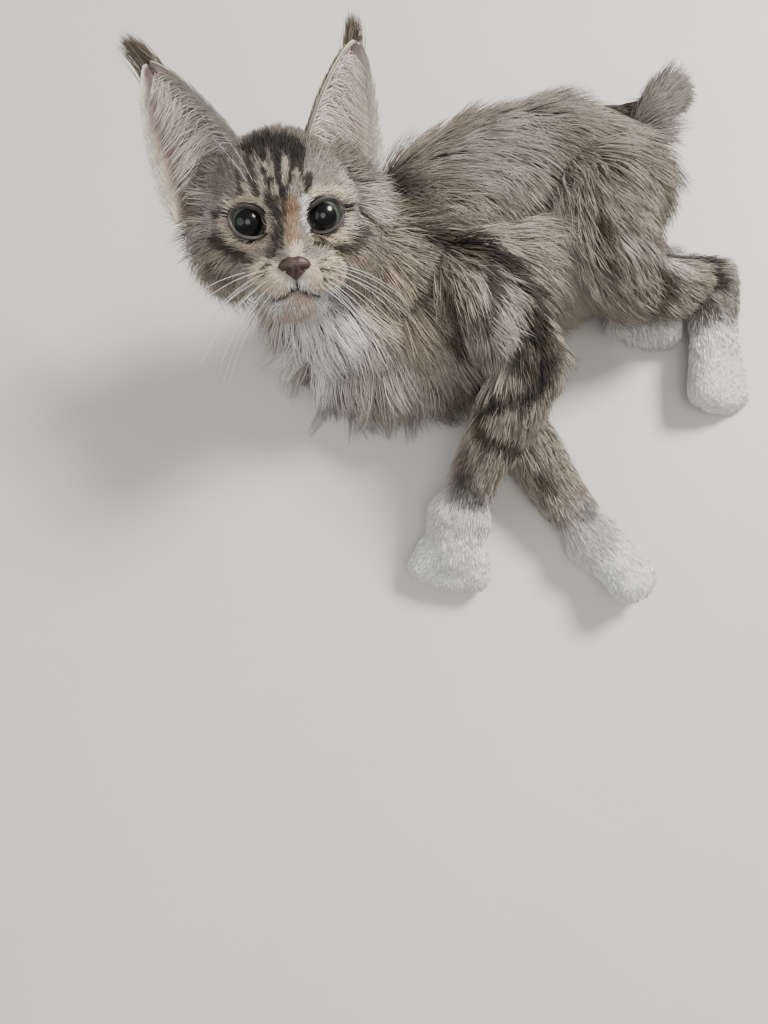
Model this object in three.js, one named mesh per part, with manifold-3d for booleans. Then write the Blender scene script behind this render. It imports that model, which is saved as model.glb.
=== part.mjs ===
// A Maine Coon kitten of about ten weeks, lying on its right side with the head raised and turned up.
// Millimetres, +Z up. The kitten's front is towards -X, its legs reach towards -Y and its back lies towards +Y.
// Flesh is described by bones: stations of a centre and a radius, blended into one smooth surface.
// Each body part wraps a capsule over its bones, and locks of the coat are traced over the whole body.
import * as THREE from "three";
import { mergeVertices } from "three/addons/utils/BufferGeometryUtils.js";
import Module from "manifold-3d";

const wasm = await Module();
wasm.setup();

// Driving sizes
const GAP = 0.32;
const BLEND = 9;
const EYE_RADIUS = 8.2;
const EYE_SPACING = 27.4;
const LID_THICKNESS = 1.3;
const EAR_HEIGHT = 42;
const EAR_WIDTH = 42;
const EAR_WALL = 1.8;
const TOE_RADIUS = 5.6;
const TOE_PITCH = 6.4;
const LOCK_SINK = 3.2;
const LOCK_STEPS = 3;
const FLOOR_CLEARANCE = 0.8;
const SLIVER = 0.1;

const vec = (x, y, z) => new THREE.Vector3(x, y, z);
const station = (x, y, z, r) => ({ at: vec(x, y, z), r });

// Named bones of the body, each a chain of stations in the kitten's lying pose
const BONES = {
  spine: [station(14, 194, 43, 31), station(44, 214, 38, 35), station(74, 224, 35, 36), station(106, 220, 34, 29)],
  belly: [station(18, 158, 34, 30), station(48, 170, 32, 33), station(80, 186, 32, 32), station(102, 198, 35, 24)],
  breast: [station(30, 152, 29, 28), station(4, 150, 27, 27), station(-18, 154, 26, 22)],
  neck: [station(20, 178, 46, 27), station(-14, 170, 56, 25), station(-34, 168, 72, 23)],
  throat: [station(2, 156, 34, 22), station(-24, 154, 52, 18), station(-33, 152, 70, 15)],
  upper_arm_left: [station(34, 164, 54, 22), station(50, 142, 58, 20), station(61, 124, 55, 17.5)],
  forearm_left: [station(61, 124, 55, 16), station(54, 106, 47, 14.5), station(42, 84, 32, 12), station(34, 64, 18, 11.5)],
  upper_arm_right: [station(44, 152, 26, 20), station(54, 124, 21, 18), station(63, 104, 18, 16)],
  forearm_right: [station(63, 104, 17.5, 14.5), station(78, 80, 14, 12.5), station(96, 55, 11.5, 11)],
  thigh_left: [station(92, 204, 50, 26), station(98, 180, 48, 25), station(108, 168, 43, 19)],
  shin_left: [station(108, 168, 42, 16.5), station(130, 168, 35, 13.5), station(152, 179, 23, 10.5)],
  thigh_right: [station(104, 206, 19, 20), station(113, 182, 17, 17.5)],
  shin_right: [station(113, 182, 14, 13), station(128, 187, 11, 10.5), station(139, 190, 9.5, 9.5)],
  tail: [
    station(114, 228, 38, 12),
    station(123, 248, 42, 8.5),
    station(131, 261, 42, 8),
    station(140, 270, 31, 8),
    station(142, 279, 17, 8),
    station(131, 285, 9.6, 8),
    station(112, 287, 8.4, 7.6),
    station(90, 288, 6.6, 6.4),
  ],
};

// A paw's bones: the pastern and four toes that fan out from it
function pawBones(wrist, toes, wristRadius, height, across) {
  const aim = toes.clone().sub(wrist).normalize();
  const middle = wrist.clone().lerp(toes, 0.55);
  const bones = [[station(...wrist, wristRadius), station(...middle, height)]];
  for (const place of [-1.5, -0.5, 0.5, 1.5]) {
    const tip = toes.clone().addScaledVector(across, place * TOE_PITCH);
    tip.addScaledVector(aim, -Math.abs(place) * 2.2);
    bones.push([station(...middle.clone().addScaledVector(across, place * 3.2), height * 0.8), station(...tip, TOE_RADIUS)]);
  }
  return bones;
}

const PAWS = {
  forepaw_left: { wrist: vec(34, 64, 17), toes: vec(29.5, 38, 6.4), wristRadius: 11.2, height: 9.2, across: vec(0.98, -0.18, 0.04) },
  forepaw_right: { wrist: vec(96, 55, 11.2), toes: vec(116, 35.5, 9.5), wristRadius: 10.8, height: 8.8, across: vec(0.45, 0.5, -0.74) },
  hindpaw_left: { wrist: vec(156, 177, 20), toes: vec(161, 123, 7.6), wristRadius: 10, height: 8.2, across: vec(0.86, 0.05, -0.5) },
  hindpaw_right: { wrist: vec(140, 189, 9.4), toes: vec(126.6, 160.4, 6.6), wristRadius: 9.2, height: 8, across: vec(0.9, -0.43, 0) },
};

// The head's own frame: x to the kitten's left cheek, y to the crown, z out along the gaze
const HEAD = new THREE.Matrix4().makeBasis(vec(0.981, 0.162, -0.108), vec(-0.091, 0.871, 0.483), vec(0.172, -0.464, 0.869));
HEAD.setPosition(-38, 164.5, 93);
const onHead = (x, y, z) => vec(x, y, z).applyMatrix4(HEAD);
const headWay = (x, y, z) => vec(x, y, z).transformDirection(HEAD);
const headStation = (x, y, z, r) => ({ at: onHead(x, y, z), r });
const BOTH = [-1, 1];

const HEAD_BONES = [
  [headStation(0, 5, -4, 27.5), headStation(0, 8, 2, 24.5)],
  [headStation(0, -2, 15, 9.5), headStation(0, -13.5, 26, 6)],
  [headStation(0, -19, 10, 14.5), headStation(0, -26.2, 20.5, 5.6)],
  ...BOTH.map((side) => [headStation(side * 15, -9, 2, 15.5), headStation(side * 23, -12, -5, 13)]),
  ...BOTH.map((side) => [headStation(side * 19, 15, -8, 13), headStation(side * 29, 7, -9, 9.5)]),
  ...BOTH.map((side) => [headStation(side * 5.2, -18.8, 23.5, 6.6), headStation(side * 8, -18.6, 18.5, 7.4)]),
  ...BOTH.map((side) => [headStation(side * 12, 9, 13, 8), headStation(side * 17, 4, 10, 8)]),
];

// Distance from a point to one chain of stations
function chainDistance(point, chain) {
  let nearest = Infinity;
  const step = vec(0, 0, 0);
  const reach = vec(0, 0, 0);
  for (let i = 0; i + 1 < chain.length; i++) {
    step.subVectors(chain[i + 1].at, chain[i].at);
    reach.subVectors(point, chain[i].at);
    const share = THREE.MathUtils.clamp(reach.dot(step) / step.lengthSq(), 0, 1);
    const radius = THREE.MathUtils.lerp(chain[i].r, chain[i + 1].r, share);
    nearest = Math.min(nearest, reach.addScaledVector(step, -share).length() - radius);
  }
  return nearest;
}

// Smooth union of chains: negative inside the flesh
function fleshOf(chains, blend = BLEND) {
  return (point) => {
    let near = Infinity;
    for (const chain of chains) {
      const d = chainDistance(point, chain);
      const h = Math.max(blend - Math.abs(near - d), 0) / blend;
      near = near === Infinity ? d : Math.min(near, d) - h * h * blend * 0.25;
    }
    return near;
  };
}

// How far a ray runs from inside the flesh before it leaves it
function rayLength(origin, way, flesh, grow) {
  const probe = (length) => flesh(origin.clone().addScaledVector(way, length)) - grow;
  let far = 0;
  while (far < 90 && probe(far) < 0) far += 1.5;
  let near = Math.max(far - 1.5, 0);
  for (let i = 0; i < 14; i++) {
    const middle = (near + far) / 2;
    if (probe(middle) < 0) near = middle;
    else far = middle;
  }
  return (near + far) / 2;
}

// Frames along a path of points: place, tangent and two cross directions
function framesAlong(points, count) {
  const curve = new THREE.CatmullRomCurve3(points, false, "centripetal");
  const { tangents, normals, binormals } = curve.computeFrenetFrames(count, false);
  return { curve, tangents, normals, binormals, count };
}

// A capsule whose every vertex is pushed out along its ray to the surface of the flesh
function wrap(points, flesh, { sides = 14, rings = 8, caps = 4, grow = 0 } = {}) {
  const frames = framesAlong(points, rings);
  const capsule = bare(new THREE.CapsuleGeometry(1, 1, caps, sides, rings));
  const position = capsule.getAttribute("position");
  for (let i = 0; i < position.count; i++) {
    const local = vec(position.getX(i), position.getY(i), position.getZ(i));
    const along = THREE.MathUtils.clamp(local.y, -0.5, 0.5);
    const index = Math.round((along + 0.5) * rings);
    const origin = frames.curve.getPointAt(index / rings);
    const way = vec(0, 0, 0)
      .addScaledVector(frames.binormals[index], local.x)
      .addScaledVector(frames.tangents[index], local.y - along)
      .addScaledVector(frames.normals[index], local.z)
      .normalize();
    origin.addScaledVector(way, rayLength(origin, way, flesh, grow));
    position.setXYZ(i, origin.x, origin.y, origin.z);
  }
  return solid(capsule);
}

function bare(geometry) {
  geometry.deleteAttribute("normal");
  geometry.deleteAttribute("uv");
  return mergeVertices(geometry, 1e-4);
}

function solid(geometry) {
  const closed = bare(geometry);
  const vertProperties = new Float32Array(closed.getAttribute("position").array);
  const triVerts = new Uint32Array(closed.index.array);
  return new wasm.Manifold(new wasm.Mesh({ numProp: 3, vertProperties, triVerts }));
}

function ball(centre, radii, matrix, detail = [14, 9]) {
  const geometry = new THREE.SphereGeometry(1, detail[0], detail[1]).scale(...radii).translate(...centre);
  return solid(matrix ? geometry.applyMatrix4(matrix) : geometry);
}

const union = (solids) => wasm.Manifold.union(solids);

// The largest closed surface of a solid, with any hollow that fusing sealed filled in
function largest(shape) {
  const bodies = shape.decompose();
  bodies.sort((a, b) => Math.abs(b.volume()) - Math.abs(a.volume()));
  return bodies[0];
}

// The same solid with its booleans worked out now, so that they aren't worked out again at each use
function settled(shape) {
  const { vertProperties, triVerts, numProp, mergeFromVert, mergeToVert } = shape.getMesh();
  return new wasm.Manifold(new wasm.Mesh({ numProp, vertProperties, triVerts, mergeFromVert, mergeToVert }));
}

function boxesMeet(a, b) {
  const [one, other] = [a.boundingBox(), b.boundingBox()];
  return [0, 1, 2].every((axis) => one.min[axis] < other.max[axis] && other.min[axis] < one.max[axis]);
}

const floorBlock = solid(new THREE.BoxGeometry(900, 900, 200).translate(0, 150, -100));

// Flesh of every node, and of the whole body for the locks to clear
const pawFlesh = (paw) => pawBones(paw.wrist, paw.toes, paw.wristRadius, paw.height, paw.across);
const FLESH = {
  torso: [BONES.spine, BONES.belly, BONES.breast],
  neck: [BONES.neck, BONES.throat],
  head: HEAD_BONES,
  tail: [BONES.tail],
};
const LIMBS = ["upper_arm_left", "forearm_left", "upper_arm_right", "forearm_right", "thigh_left", "shin_left", "thigh_right", "shin_right"];
for (const name of LIMBS) FLESH[name] = [BONES[name]];
for (const [name, paw] of Object.entries(PAWS)) FLESH[name] = pawFlesh(paw);

const wholeFlesh = (() => {
  const parts = Object.values(FLESH).map((chains) => fleshOf(chains));
  return (point) => Math.min(...parts.map((part) => part(point)));
})();

function slopeOf(flesh, point) {
  const h = 0.4;
  const side = (x, y, z) => flesh(point.clone().add(vec(x, y, z))) - flesh(point.clone().sub(vec(x, y, z)));
  return vec(side(h, 0, 0), side(0, h, 0), side(0, 0, h)).normalize();
}

// The line of one lock: it leaves the skin along its lie, rises to its lift and keeps clear of all flesh
function lockLine({ root, lie, length, lift, sag = 0 }) {
  const steps = LOCK_STEPS;
  const line = [];
  const point = root.clone();
  const heading = lie.clone();
  for (let i = 0; i <= steps; i++) {
    const share = i / steps;
    const out = slopeOf(wholeFlesh, point);
    const height = i === 0 ? -LOCK_SINK : 1.6 + lift * Math.sin(share * Math.PI * 0.5);
    for (let again = 0; again < 3; again++) {
      point.addScaledVector(slopeOf(wholeFlesh, point), height - wholeFlesh(point));
    }
    if (i > 0) point.z = Math.max(point.z, FLOOR_CLEARANCE + 1.4 * (1 - share));
    line.push({ at: point.clone(), out });
    heading.z -= sag / steps;
    heading.addScaledVector(out, -heading.dot(out)).normalize();
    point.addScaledVector(heading, length / steps);
  }
  return line;
}

// A flat, tapered lock: a cone of few sides laid along its line
function lock(spec, grow = 0) {
  const line = spec.line ?? lockLine(spec);
  const steps = line.length - 1;
  const curve = new THREE.CatmullRomCurve3(line.map((stop) => stop.at), false, "centripetal");
  const cone = bare(new THREE.ConeGeometry(1, 1, 4, LOCK_STEPS, false));
  const position = cone.getAttribute("position");
  for (let i = 0; i < position.count; i++) {
    const share = position.getY(i) + 0.5;
    const place = curve.getPoint(share);
    const tangent = curve.getTangent(share);
    const out = line[Math.round(share * steps)].out.clone();
    out.addScaledVector(tangent, -out.dot(tangent)).normalize();
    const across = tangent.clone().cross(out);
    const ring = Math.max(1 - share, 1e-6);
    const taper = share > 0.999 ? 0 : Math.sqrt(1 - share * share) * (0.72 + 0.28 * Math.sin(share * Math.PI));
    place.addScaledVector(across, (position.getX(i) / ring) * ((spec.width / 2) * taper + grow));
    place.addScaledVector(out, (position.getZ(i) / ring) * ((spec.thick / 2) * taper + grow));
    if (share > 0.999) place.addScaledVector(tangent, grow * 3);
    position.setXYZ(i, place.x, place.y, place.z);
  }
  return solid(cone);
}

// Rows of locks on one part of the body: rings along a path, spread over an arc round it
const random = (() => {
  let seed = 20817;
  return () => {
    seed = (seed * 1664525 + 1013904223) % 4294967296;
    return seed / 4294967296;
  };
})();
const vary = (share) => 1 + (random() * 2 - 1) * share;

function lockRows({ path, flesh, rows, from = 0, to = 1, perRow, arc = [0, 360], up, lie, length, width, lift, sag, keep }) {
  const curve = new THREE.CatmullRomCurve3(path, false, "centripetal");
  const specs = [];
  for (let row = 0; row < rows; row++) {
    const share = THREE.MathUtils.lerp(from, to, rows > 1 ? row / (rows - 1) : 0.5);
    const origin = curve.getPointAt(share);
    const tangent = curve.getTangentAt(share);
    const top = up.clone().addScaledVector(tangent, -up.dot(tangent)).normalize();
    const side = tangent.clone().cross(top);
    for (let i = 0; i < perRow; i++) {
      const turn = THREE.MathUtils.lerp(arc[0], arc[1], (i + (row % 2) * 0.5 + 0.25 * random()) / perRow);
      const angle = THREE.MathUtils.degToRad(turn);
      const way = top.clone().multiplyScalar(Math.cos(angle)).addScaledVector(side, Math.sin(angle));
      const root = origin.clone().addScaledVector(way, rayLength(origin, way, flesh, 0));
      const heading = lie(tangent, way, share, root).clone();
      heading.addScaledVector(way, -heading.dot(way)).normalize();
      const spec = {
        root,
        lie: heading,
        length: length(share, way) * vary(0.18),
        width: width * vary(0.15),
        thick: 2.6,
        lift: lift(share, way) * vary(0.2),
        sag: sag ?? 0,
      };
      if (root.z > 1.5 && wholeFlesh(root) > -1.5 && (!keep || keep(root, way))) specs.push(spec);
    }
  }
  return specs;
}

// Locks that fan out from one point over the flesh round it, tier above tier
function lockFan({ centre, flesh, bearings, count, tiers, drop, length, width, lift }) {
  const specs = [];
  tiers.forEach((rise, tier) => {
    for (let i = 0; i < count; i++) {
      const share = (i + (tier % 2) * 0.5) / (count - 0.5);
      const bearing = THREE.MathUtils.degToRad(THREE.MathUtils.lerp(...bearings, share) + 4 * random());
      const way = vec(Math.cos(bearing), Math.sin(bearing), rise).normalize();
      const root = centre.clone().addScaledVector(way, rayLength(centre, way, flesh, 0));
      const lie = vec(way.x, way.y, -drop).addScaledVector(way, -0.2).normalize();
      const buried = wholeFlesh(root) < -1.5 || root.z < 1.5;
      const spec = { root, lie, length: length * vary(0.18), width: width * vary(0.15), thick: 2.8, lift: lift * vary(0.2) };
      if (!buried) specs.push(spec);
    }
  });
  return specs;
}

const nodes = new Map();
const grownNodes = [];

// Fuses a core with its locks, takes away the floor and every earlier node, and keeps one closed body
function place(name, core, grownCore, specs = []) {
  let shape = union([core, ...specs.map((spec) => lock(spec))]);
  for (const cutter of [floorBlock, ...grownNodes, ...nodes.values()]) {
    if (boxesMeet(shape, cutter)) shape = settled(shape.subtract(cutter));
  }
  shape = largest(largest(shape).simplify(SLIVER));
  grownNodes.push(settled(union([grownCore, ...specs.map((spec) => lock(spec, GAP))])));
  nodes.set(name, shape);
}

function placeWrapped(name, path, options, specs) {
  const flesh = fleshOf(FLESH[name]);
  place(name, wrap(path, flesh, options), wrap(path, flesh, { ...options, grow: GAP }), specs);
}

const centres = (chain) => chain.map((stop) => stop.at.clone());

// Eyes, seated in the head
const eyeAt = (side) => vec((side * EYE_SPACING) / 2, 0, 12.6);
for (const [name, side] of [["eye_right", -1], ["eye_left", 1]]) {
  const radii = [EYE_RADIUS, EYE_RADIUS, EYE_RADIUS];
  const grown = radii.map((r) => r + GAP);
  place(name, ball(eyeAt(side), radii, HEAD), ball(eyeAt(side), grown, HEAD));
}

// Nose pad with two nostrils
function nosePad(grow) {
  const geometry = new THREE.SphereGeometry(1, 12, 8);
  const position = geometry.getAttribute("position");
  for (let i = 0; i < position.count; i++) {
    const [x, y, z] = [position.getX(i), position.getY(i), position.getZ(i)];
    const narrow = 0.58 + 0.42 * THREE.MathUtils.smoothstep(y, -1, 0.3);
    position.setXYZ(i, x * narrow * (5 + grow), -14.6 + y * (3.6 + grow), 29.2 + z * (3.4 + grow) + y * 0.4);
  }
  return solid(geometry.applyMatrix4(HEAD));
}
const nostrils = BOTH.map((side) => ball([side * 2.6, -15.2, 32.6], [1.05, 0.8, 1.6], HEAD, [8, 6]));
place("nose", nosePad(0).subtract(union(nostrils)), nosePad(GAP));

// Ears: cupped leaves of one wall, whose tips carry a lynx tuft
const EARS = {
  ear_right: { base: vec(-26, 18, -5), tip: vec(-40.5, 57, -6), face: vec(-0.25, 0.05, 1), side: -1 },
  ear_left: { base: vec(22.8, 20, -5), tip: vec(32.8, 59.5, -6), face: vec(0.55, 0, 0.85), side: 1 },
};

function earFrame(ear) {
  const up = ear.tip.clone().sub(ear.base).normalize();
  const face = ear.face.clone().addScaledVector(up, -ear.face.dot(up)).normalize();
  const across = up.clone().cross(face);
  return new THREE.Matrix4().makeBasis(across, up, face).setPosition(ear.base).premultiply(HEAD);
}

// A point of the ear: u from edge to edge, v from root to tip, w from the back wall to the inside
function earPoint(u, v, w) {
  const half = (EAR_WIDTH / 2) * (1 - Math.pow(Math.max(v, 0), 1.45)) ** 0.8 + 0.5;
  const cup = 11 * (1 - v * 0.75);
  const bend = cup * (1 - u * u);
  const turn = u * 0.55;
  const wall = EAR_WALL * (1 - 0.45 * Math.abs(u)) * (1.15 - 0.55 * v);
  return vec(u * half * (1 - 0.12 * u * u), -9 + v * (EAR_HEIGHT + 9), -bend * 0.9 + w * wall * Math.cos(turn) + 3);
}

function earShell(ear, grow) {
  const geometry = new THREE.BoxGeometry(1, 1, 1, 6, 7, 1);
  const position = geometry.getAttribute("position");
  for (let i = 0; i < position.count; i++) {
    const u = position.getX(i) * 2 * (1 + grow / 14);
    const v = THREE.MathUtils.clamp(position.getY(i) + 0.5, 0, 1);
    const place = earPoint(u, v, position.getZ(i) * 2 * (0.5 + (grow * 0.7) / EAR_WALL));
    position.setXYZ(i, place.x, place.y + (v > 0.99 ? grow : 0), place.z);
  }
  return solid(geometry.applyMatrix4(earFrame(ear)));
}

// Locks of an ear: inner hair that sweeps across the cup to its outer edge, and the tuft at the tip
function earLocks(ear) {
  const frame = earFrame(ear);
  const out = vec(0, 0, 1).transformDirection(frame);
  const specs = [];
  for (let i = 0; i < 6; i++) {
    const v = 0.14 + i * 0.125;
    const stops = [-0.78, -0.4, 0.05, 0.55, 1.12].map((u, k) => {
      const rise = [0, 2.4, 4.2, 4, 2.6][k] * (1 - 0.5 * v);
      return earPoint(u * -ear.side * -1, v + 0.02 * k - 0.004 * k * k, 0).add(vec(0, 0, rise));
    });
    const line = stops.map((at) => ({ at: at.applyMatrix4(frame), out }));
    specs.push({ line, width: 4.6 * (1 - 0.35 * v), thick: 1.4 });
  }
  for (const lean of [-0.5, 0, 0.5]) {
    const stops = [0, 1, 2, 3, 4].map((k) => {
      const tip = earPoint(0, 0.86, 0);
      return vec(tip.x + lean * 2.2 * k - ear.side * 0.06 * k * k, tip.y + k * 3.9, tip.z + 0.1 * k);
    });
    specs.push({ line: stops.map((at) => ({ at: at.applyMatrix4(frame), out })), width: 4.2, thick: 2.4 });
  }
  return specs;
}

// The head: skull, cheeks and muzzle, with sockets, lids, mouth line and cheek locks
function sweep(points, radius) {
  const section = new THREE.Shape().absarc(0, 0, radius, 0, Math.PI * 2);
  const extrudePath = new THREE.CatmullRomCurve3(points.map((p) => onHead(...p)));
  return solid(new THREE.ExtrudeGeometry(section, { extrudePath, steps: 12, curveSegments: 3 }));
}
const mouthLine = sweep([[-10.5, -21.8, 20.5], [-8, -23.8, 25], [-3.6, -25, 29], [0, -22.6, 31.2], [3.6, -25, 29], [8, -23.8, 25], [10.5, -21.8, 20.5]], 0.85);
const philtrum = sweep([[0, -16, 32.4], [0, -19.6, 31.8], [0, -22.8, 31]], 0.7);

function lids(side) {
  const ring = new THREE.TorusGeometry(6.9, LID_THICKNESS, 5, 14);
  ring.scale(1.06, 0.94, 1.1).rotateY(side * 0.32).rotateX(-0.06);
  return solid(ring.translate(side * (EYE_SPACING / 2 + 1.4), 0.1, 17.6).applyMatrix4(HEAD));
}

function cheekLocks() {
  const flesh = fleshOf(HEAD_BONES);
  const specs = [];
  for (const side of BOTH) {
    for (let i = 0; i < 10; i++) {
      const tier = Math.floor(i / 5);
      const turn = THREE.MathUtils.degToRad(-62 + (i % 5) * 17 + tier * 8);
      const way = headWay(side * Math.cos(turn), Math.sin(turn) - 0.12, 0.05 - tier * 0.45).normalize();
      const origin = onHead(0, -3, 0);
      const root = origin.clone().addScaledVector(way, rayLength(origin, way, flesh, 0));
      const lie = headWay(side * 0.5, -0.55, -0.75);
      specs.push({ root, lie, length: 19 * vary(0.15), width: 8, thick: 2.4, lift: 4.5 * vary(0.2) });
    }
  }
  return specs.filter((spec) => spec.root.z > 8);
}

function headShell(grow) {
  const flesh = fleshOf(HEAD_BONES, 7);
  const path = [onHead(0, 2, -12), onHead(0, 0, 0), onHead(0, -9, 12)];
  return wrap(path, flesh, { sides: 26, rings: 7, caps: 8, grow });
}
const socketCuts = BOTH.map((side) => {
  const geometry = new THREE.SphereGeometry(1, 14, 8).scale(6.6, 6, 8).rotateY(side * 0.3);
  return solid(geometry.translate(side * (EYE_SPACING / 2 + 0.9), 0.1, 22).applyMatrix4(HEAD));
});
const headCore = union([headShell(0).subtract(union(socketCuts)), lids(-1), lids(1)]).subtract(union([mouthLine, philtrum]));
place("head", headCore, headShell(GAP), cheekLocks());
for (const [name, ear] of Object.entries(EARS)) place(name, earShell(ear, 0), earShell(ear, GAP), earLocks(ear));

// Torso with the coat of back, flank and belly
const toTail = vec(0.9, 0.1, 0);
const toBelly = vec(0.35, -1, -0.25);
const torsoFlesh = fleshOf(FLESH.torso);
const torsoPath = [vec(8, 172, 34), vec(42, 190, 35), vec(76, 206, 34), vec(104, 212, 34)];
const torsoLocks = lockRows({
  path: torsoPath,
  flesh: torsoFlesh,
  rows: 6,
  from: 0.12,
  to: 1,
  perRow: 10,
  arc: [-118, 128],
  up: vec(0, 0, 1),
  lie: (tangent, way) => toTail.clone().addScaledVector(toBelly, way.z > 0.1 ? 0.75 : 0.35).addScaledVector(vec(0, 0, -1), way.z < 0.2 ? 0.9 : 0),
  length: (share, way) => (way.y < -0.5 ? 25 : 22),
  width: 11,
  lift: (share, way) => (way.z > 0.6 ? 5 : 7),
});
const chestLocks = lockFan({
  centre: vec(-4, 152, 27),
  flesh: torsoFlesh,
  bearings: [160, 305],
  count: 9,
  tiers: [-0.3, 0.15, 0.6],
  drop: 0.9,
  length: 30,
  width: 10,
  lift: 8,
});
placeWrapped("torso", torsoPath, { sides: 22, rings: 8, caps: 4 }, [...torsoLocks, ...chestLocks]);

// Neck with the ruff, which falls from the throat to the floor
const neckPath = [vec(14, 168, 42), vec(-14, 164, 54), vec(-34, 164, 72)];
const ruff = lockRows({
  path: neckPath,
  flesh: fleshOf(FLESH.neck),
  rows: 4,
  from: 0.1,
  to: 0.82,
  perRow: 8,
  arc: [20, 330],
  up: vec(0.2, 1, 0),
  lie: (tangent, way) => vec(0.18 - 0.5 * Math.max(-way.x, 0), -0.45, -1).addScaledVector(way, 0.6),
  length: (share, way) => (way.y < 0.1 ? 30 : 18),
  width: 9,
  lift: (share, way) => (way.y < 0.1 ? 8 : 4),
});
placeWrapped("neck", neckPath, { sides: 18, rings: 5, caps: 3 }, ruff);

// Limbs, each cut to meet what it grows from
const breeches = lockRows({
  path: centres(BONES.thigh_left),
  flesh: fleshOf(FLESH.thigh_left),
  rows: 3,
  from: 0.25,
  to: 0.95,
  perRow: 4,
  arc: [-110, 110],
  up: vec(0.6, 0.2, 1),
  lie: () => vec(0.5, -0.8, -0.35),
  length: () => 17,
  width: 9,
  lift: () => 4,
});
const LIMB_ORDER = [
  ["upper_arm_left", { sides: 12, rings: 4, caps: 3 }, []],
  ["forearm_left", { sides: 12, rings: 6, caps: 2 }, []],
  ["upper_arm_right", { sides: 12, rings: 4, caps: 3 }, []],
  ["forearm_right", { sides: 12, rings: 6, caps: 2 }, []],
  ["thigh_left", { sides: 12, rings: 3, caps: 3 }, breeches],
  ["shin_left", { sides: 12, rings: 5, caps: 2 }, []],
  ["thigh_right", { sides: 12, rings: 3, caps: 3 }, []],
  ["shin_right", { sides: 12, rings: 4, caps: 3 }, []],
];
for (const [name, options, specs] of LIMB_ORDER) placeWrapped(name, centres(BONES[name]), options, specs);
for (const [name, paw] of Object.entries(PAWS)) {
  const reach = paw.wrist.clone().lerp(paw.toes, 0.86);
  placeWrapped(name, [paw.wrist, paw.wrist.clone().lerp(paw.toes, 0.45), reach], { sides: 16, rings: 5, caps: 4 });
}

// Tail with its bushy locks
const brush = lockRows({
  path: centres(BONES.tail),
  flesh: fleshOf(FLESH.tail),
  rows: 7,
  from: 0.1,
  to: 0.97,
  perRow: 4,
  up: vec(-0.5, 0.6, 0.6),
  lie: (tangent, way) => tangent.clone().addScaledVector(way, 0.25),
  length: () => 19,
  width: 8,
  lift: () => 3.4,
});
placeWrapped("tail", centres(BONES.tail), { sides: 9, rings: 18, caps: 2 }, brush);

// Colour and finish of each node
const COLOURS = { eye: 0x2b3a36, nose: 0x4a2420, ear: 0xb9a596, head: 0x8a7762, neck: 0xb9ae9c, paw: 0xe9e6df, coat: 0x85786a };
function finishOf(name) {
  const kind = Object.keys(COLOURS).find((word) => name.includes(word)) ?? "coat";
  const glossy = kind === "eye" ? 0.08 : kind === "nose" ? 0.45 : 0.9;
  return new THREE.MeshStandardMaterial({ color: COLOURS[kind], roughness: glossy, metalness: 0 });
}

function meshOf(name, shape) {
  const { vertProperties, triVerts, numProp, numVert } = shape.getMesh();
  const position = new Float32Array(numVert * 3);
  for (let i = 0; i < numVert; i++) position.set(vertProperties.subarray(i * numProp, i * numProp + 3), i * 3);
  const geometry = new THREE.BufferGeometry();
  geometry.setAttribute("position", new THREE.BufferAttribute(position, 3));
  geometry.setIndex(new THREE.BufferAttribute(new Uint32Array(triVerts), 1));
  geometry.computeVertexNormals();
  const mesh = new THREE.Mesh(geometry, finishOf(name));
  mesh.name = name;
  return mesh;
}

// The kitten stands in its own frame: the origin is the middle of its box, on the floor
const kitten = new THREE.Group();
for (const [name, shape] of nodes) kitten.add(meshOf(name, shape));
const box = new THREE.Box3().setFromObject(kitten);
const middle = box.getCenter(vec(0, 0, 0));
kitten.position.set(-middle.x, -middle.y, -box.min.z);

const root = new THREE.Group();
root.add(kitten);
export default root;
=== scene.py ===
"""The looks of a Maine Coon kitten that lies on its right side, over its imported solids.

Shapes are first given in millimetres in the kitten's own frame, the frame of the solids' stations,
and onto_floor() carries them to the row frame in metres. One skin is made from round stations of flesh.
The coat is thin tapered tufts of solid mesh, grown from the skin along the lie of the fur.
Markings are strokes laid through the photograph's camera onto the skin, and the coat takes them from there.
"""

import math

import bpy
import numpy as np
from mathutils import Matrix, Vector
from mathutils.bvhtree import BVHTree
from mathutils.kdtree import KDTree


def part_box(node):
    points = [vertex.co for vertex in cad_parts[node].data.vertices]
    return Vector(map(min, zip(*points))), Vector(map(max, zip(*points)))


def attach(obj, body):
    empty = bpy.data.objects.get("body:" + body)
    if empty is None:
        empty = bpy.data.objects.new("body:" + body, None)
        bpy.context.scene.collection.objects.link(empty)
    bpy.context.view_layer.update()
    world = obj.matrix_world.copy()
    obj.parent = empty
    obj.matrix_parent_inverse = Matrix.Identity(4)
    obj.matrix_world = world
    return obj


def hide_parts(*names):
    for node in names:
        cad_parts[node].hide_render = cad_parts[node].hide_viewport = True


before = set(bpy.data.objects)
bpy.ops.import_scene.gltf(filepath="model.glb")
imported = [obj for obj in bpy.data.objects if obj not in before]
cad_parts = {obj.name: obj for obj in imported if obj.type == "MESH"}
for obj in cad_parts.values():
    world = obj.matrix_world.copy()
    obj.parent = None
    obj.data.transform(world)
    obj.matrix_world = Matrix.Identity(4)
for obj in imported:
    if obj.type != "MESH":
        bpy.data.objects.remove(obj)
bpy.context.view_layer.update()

draw = np.random.default_rng(20817)
MM = 0.001

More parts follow.
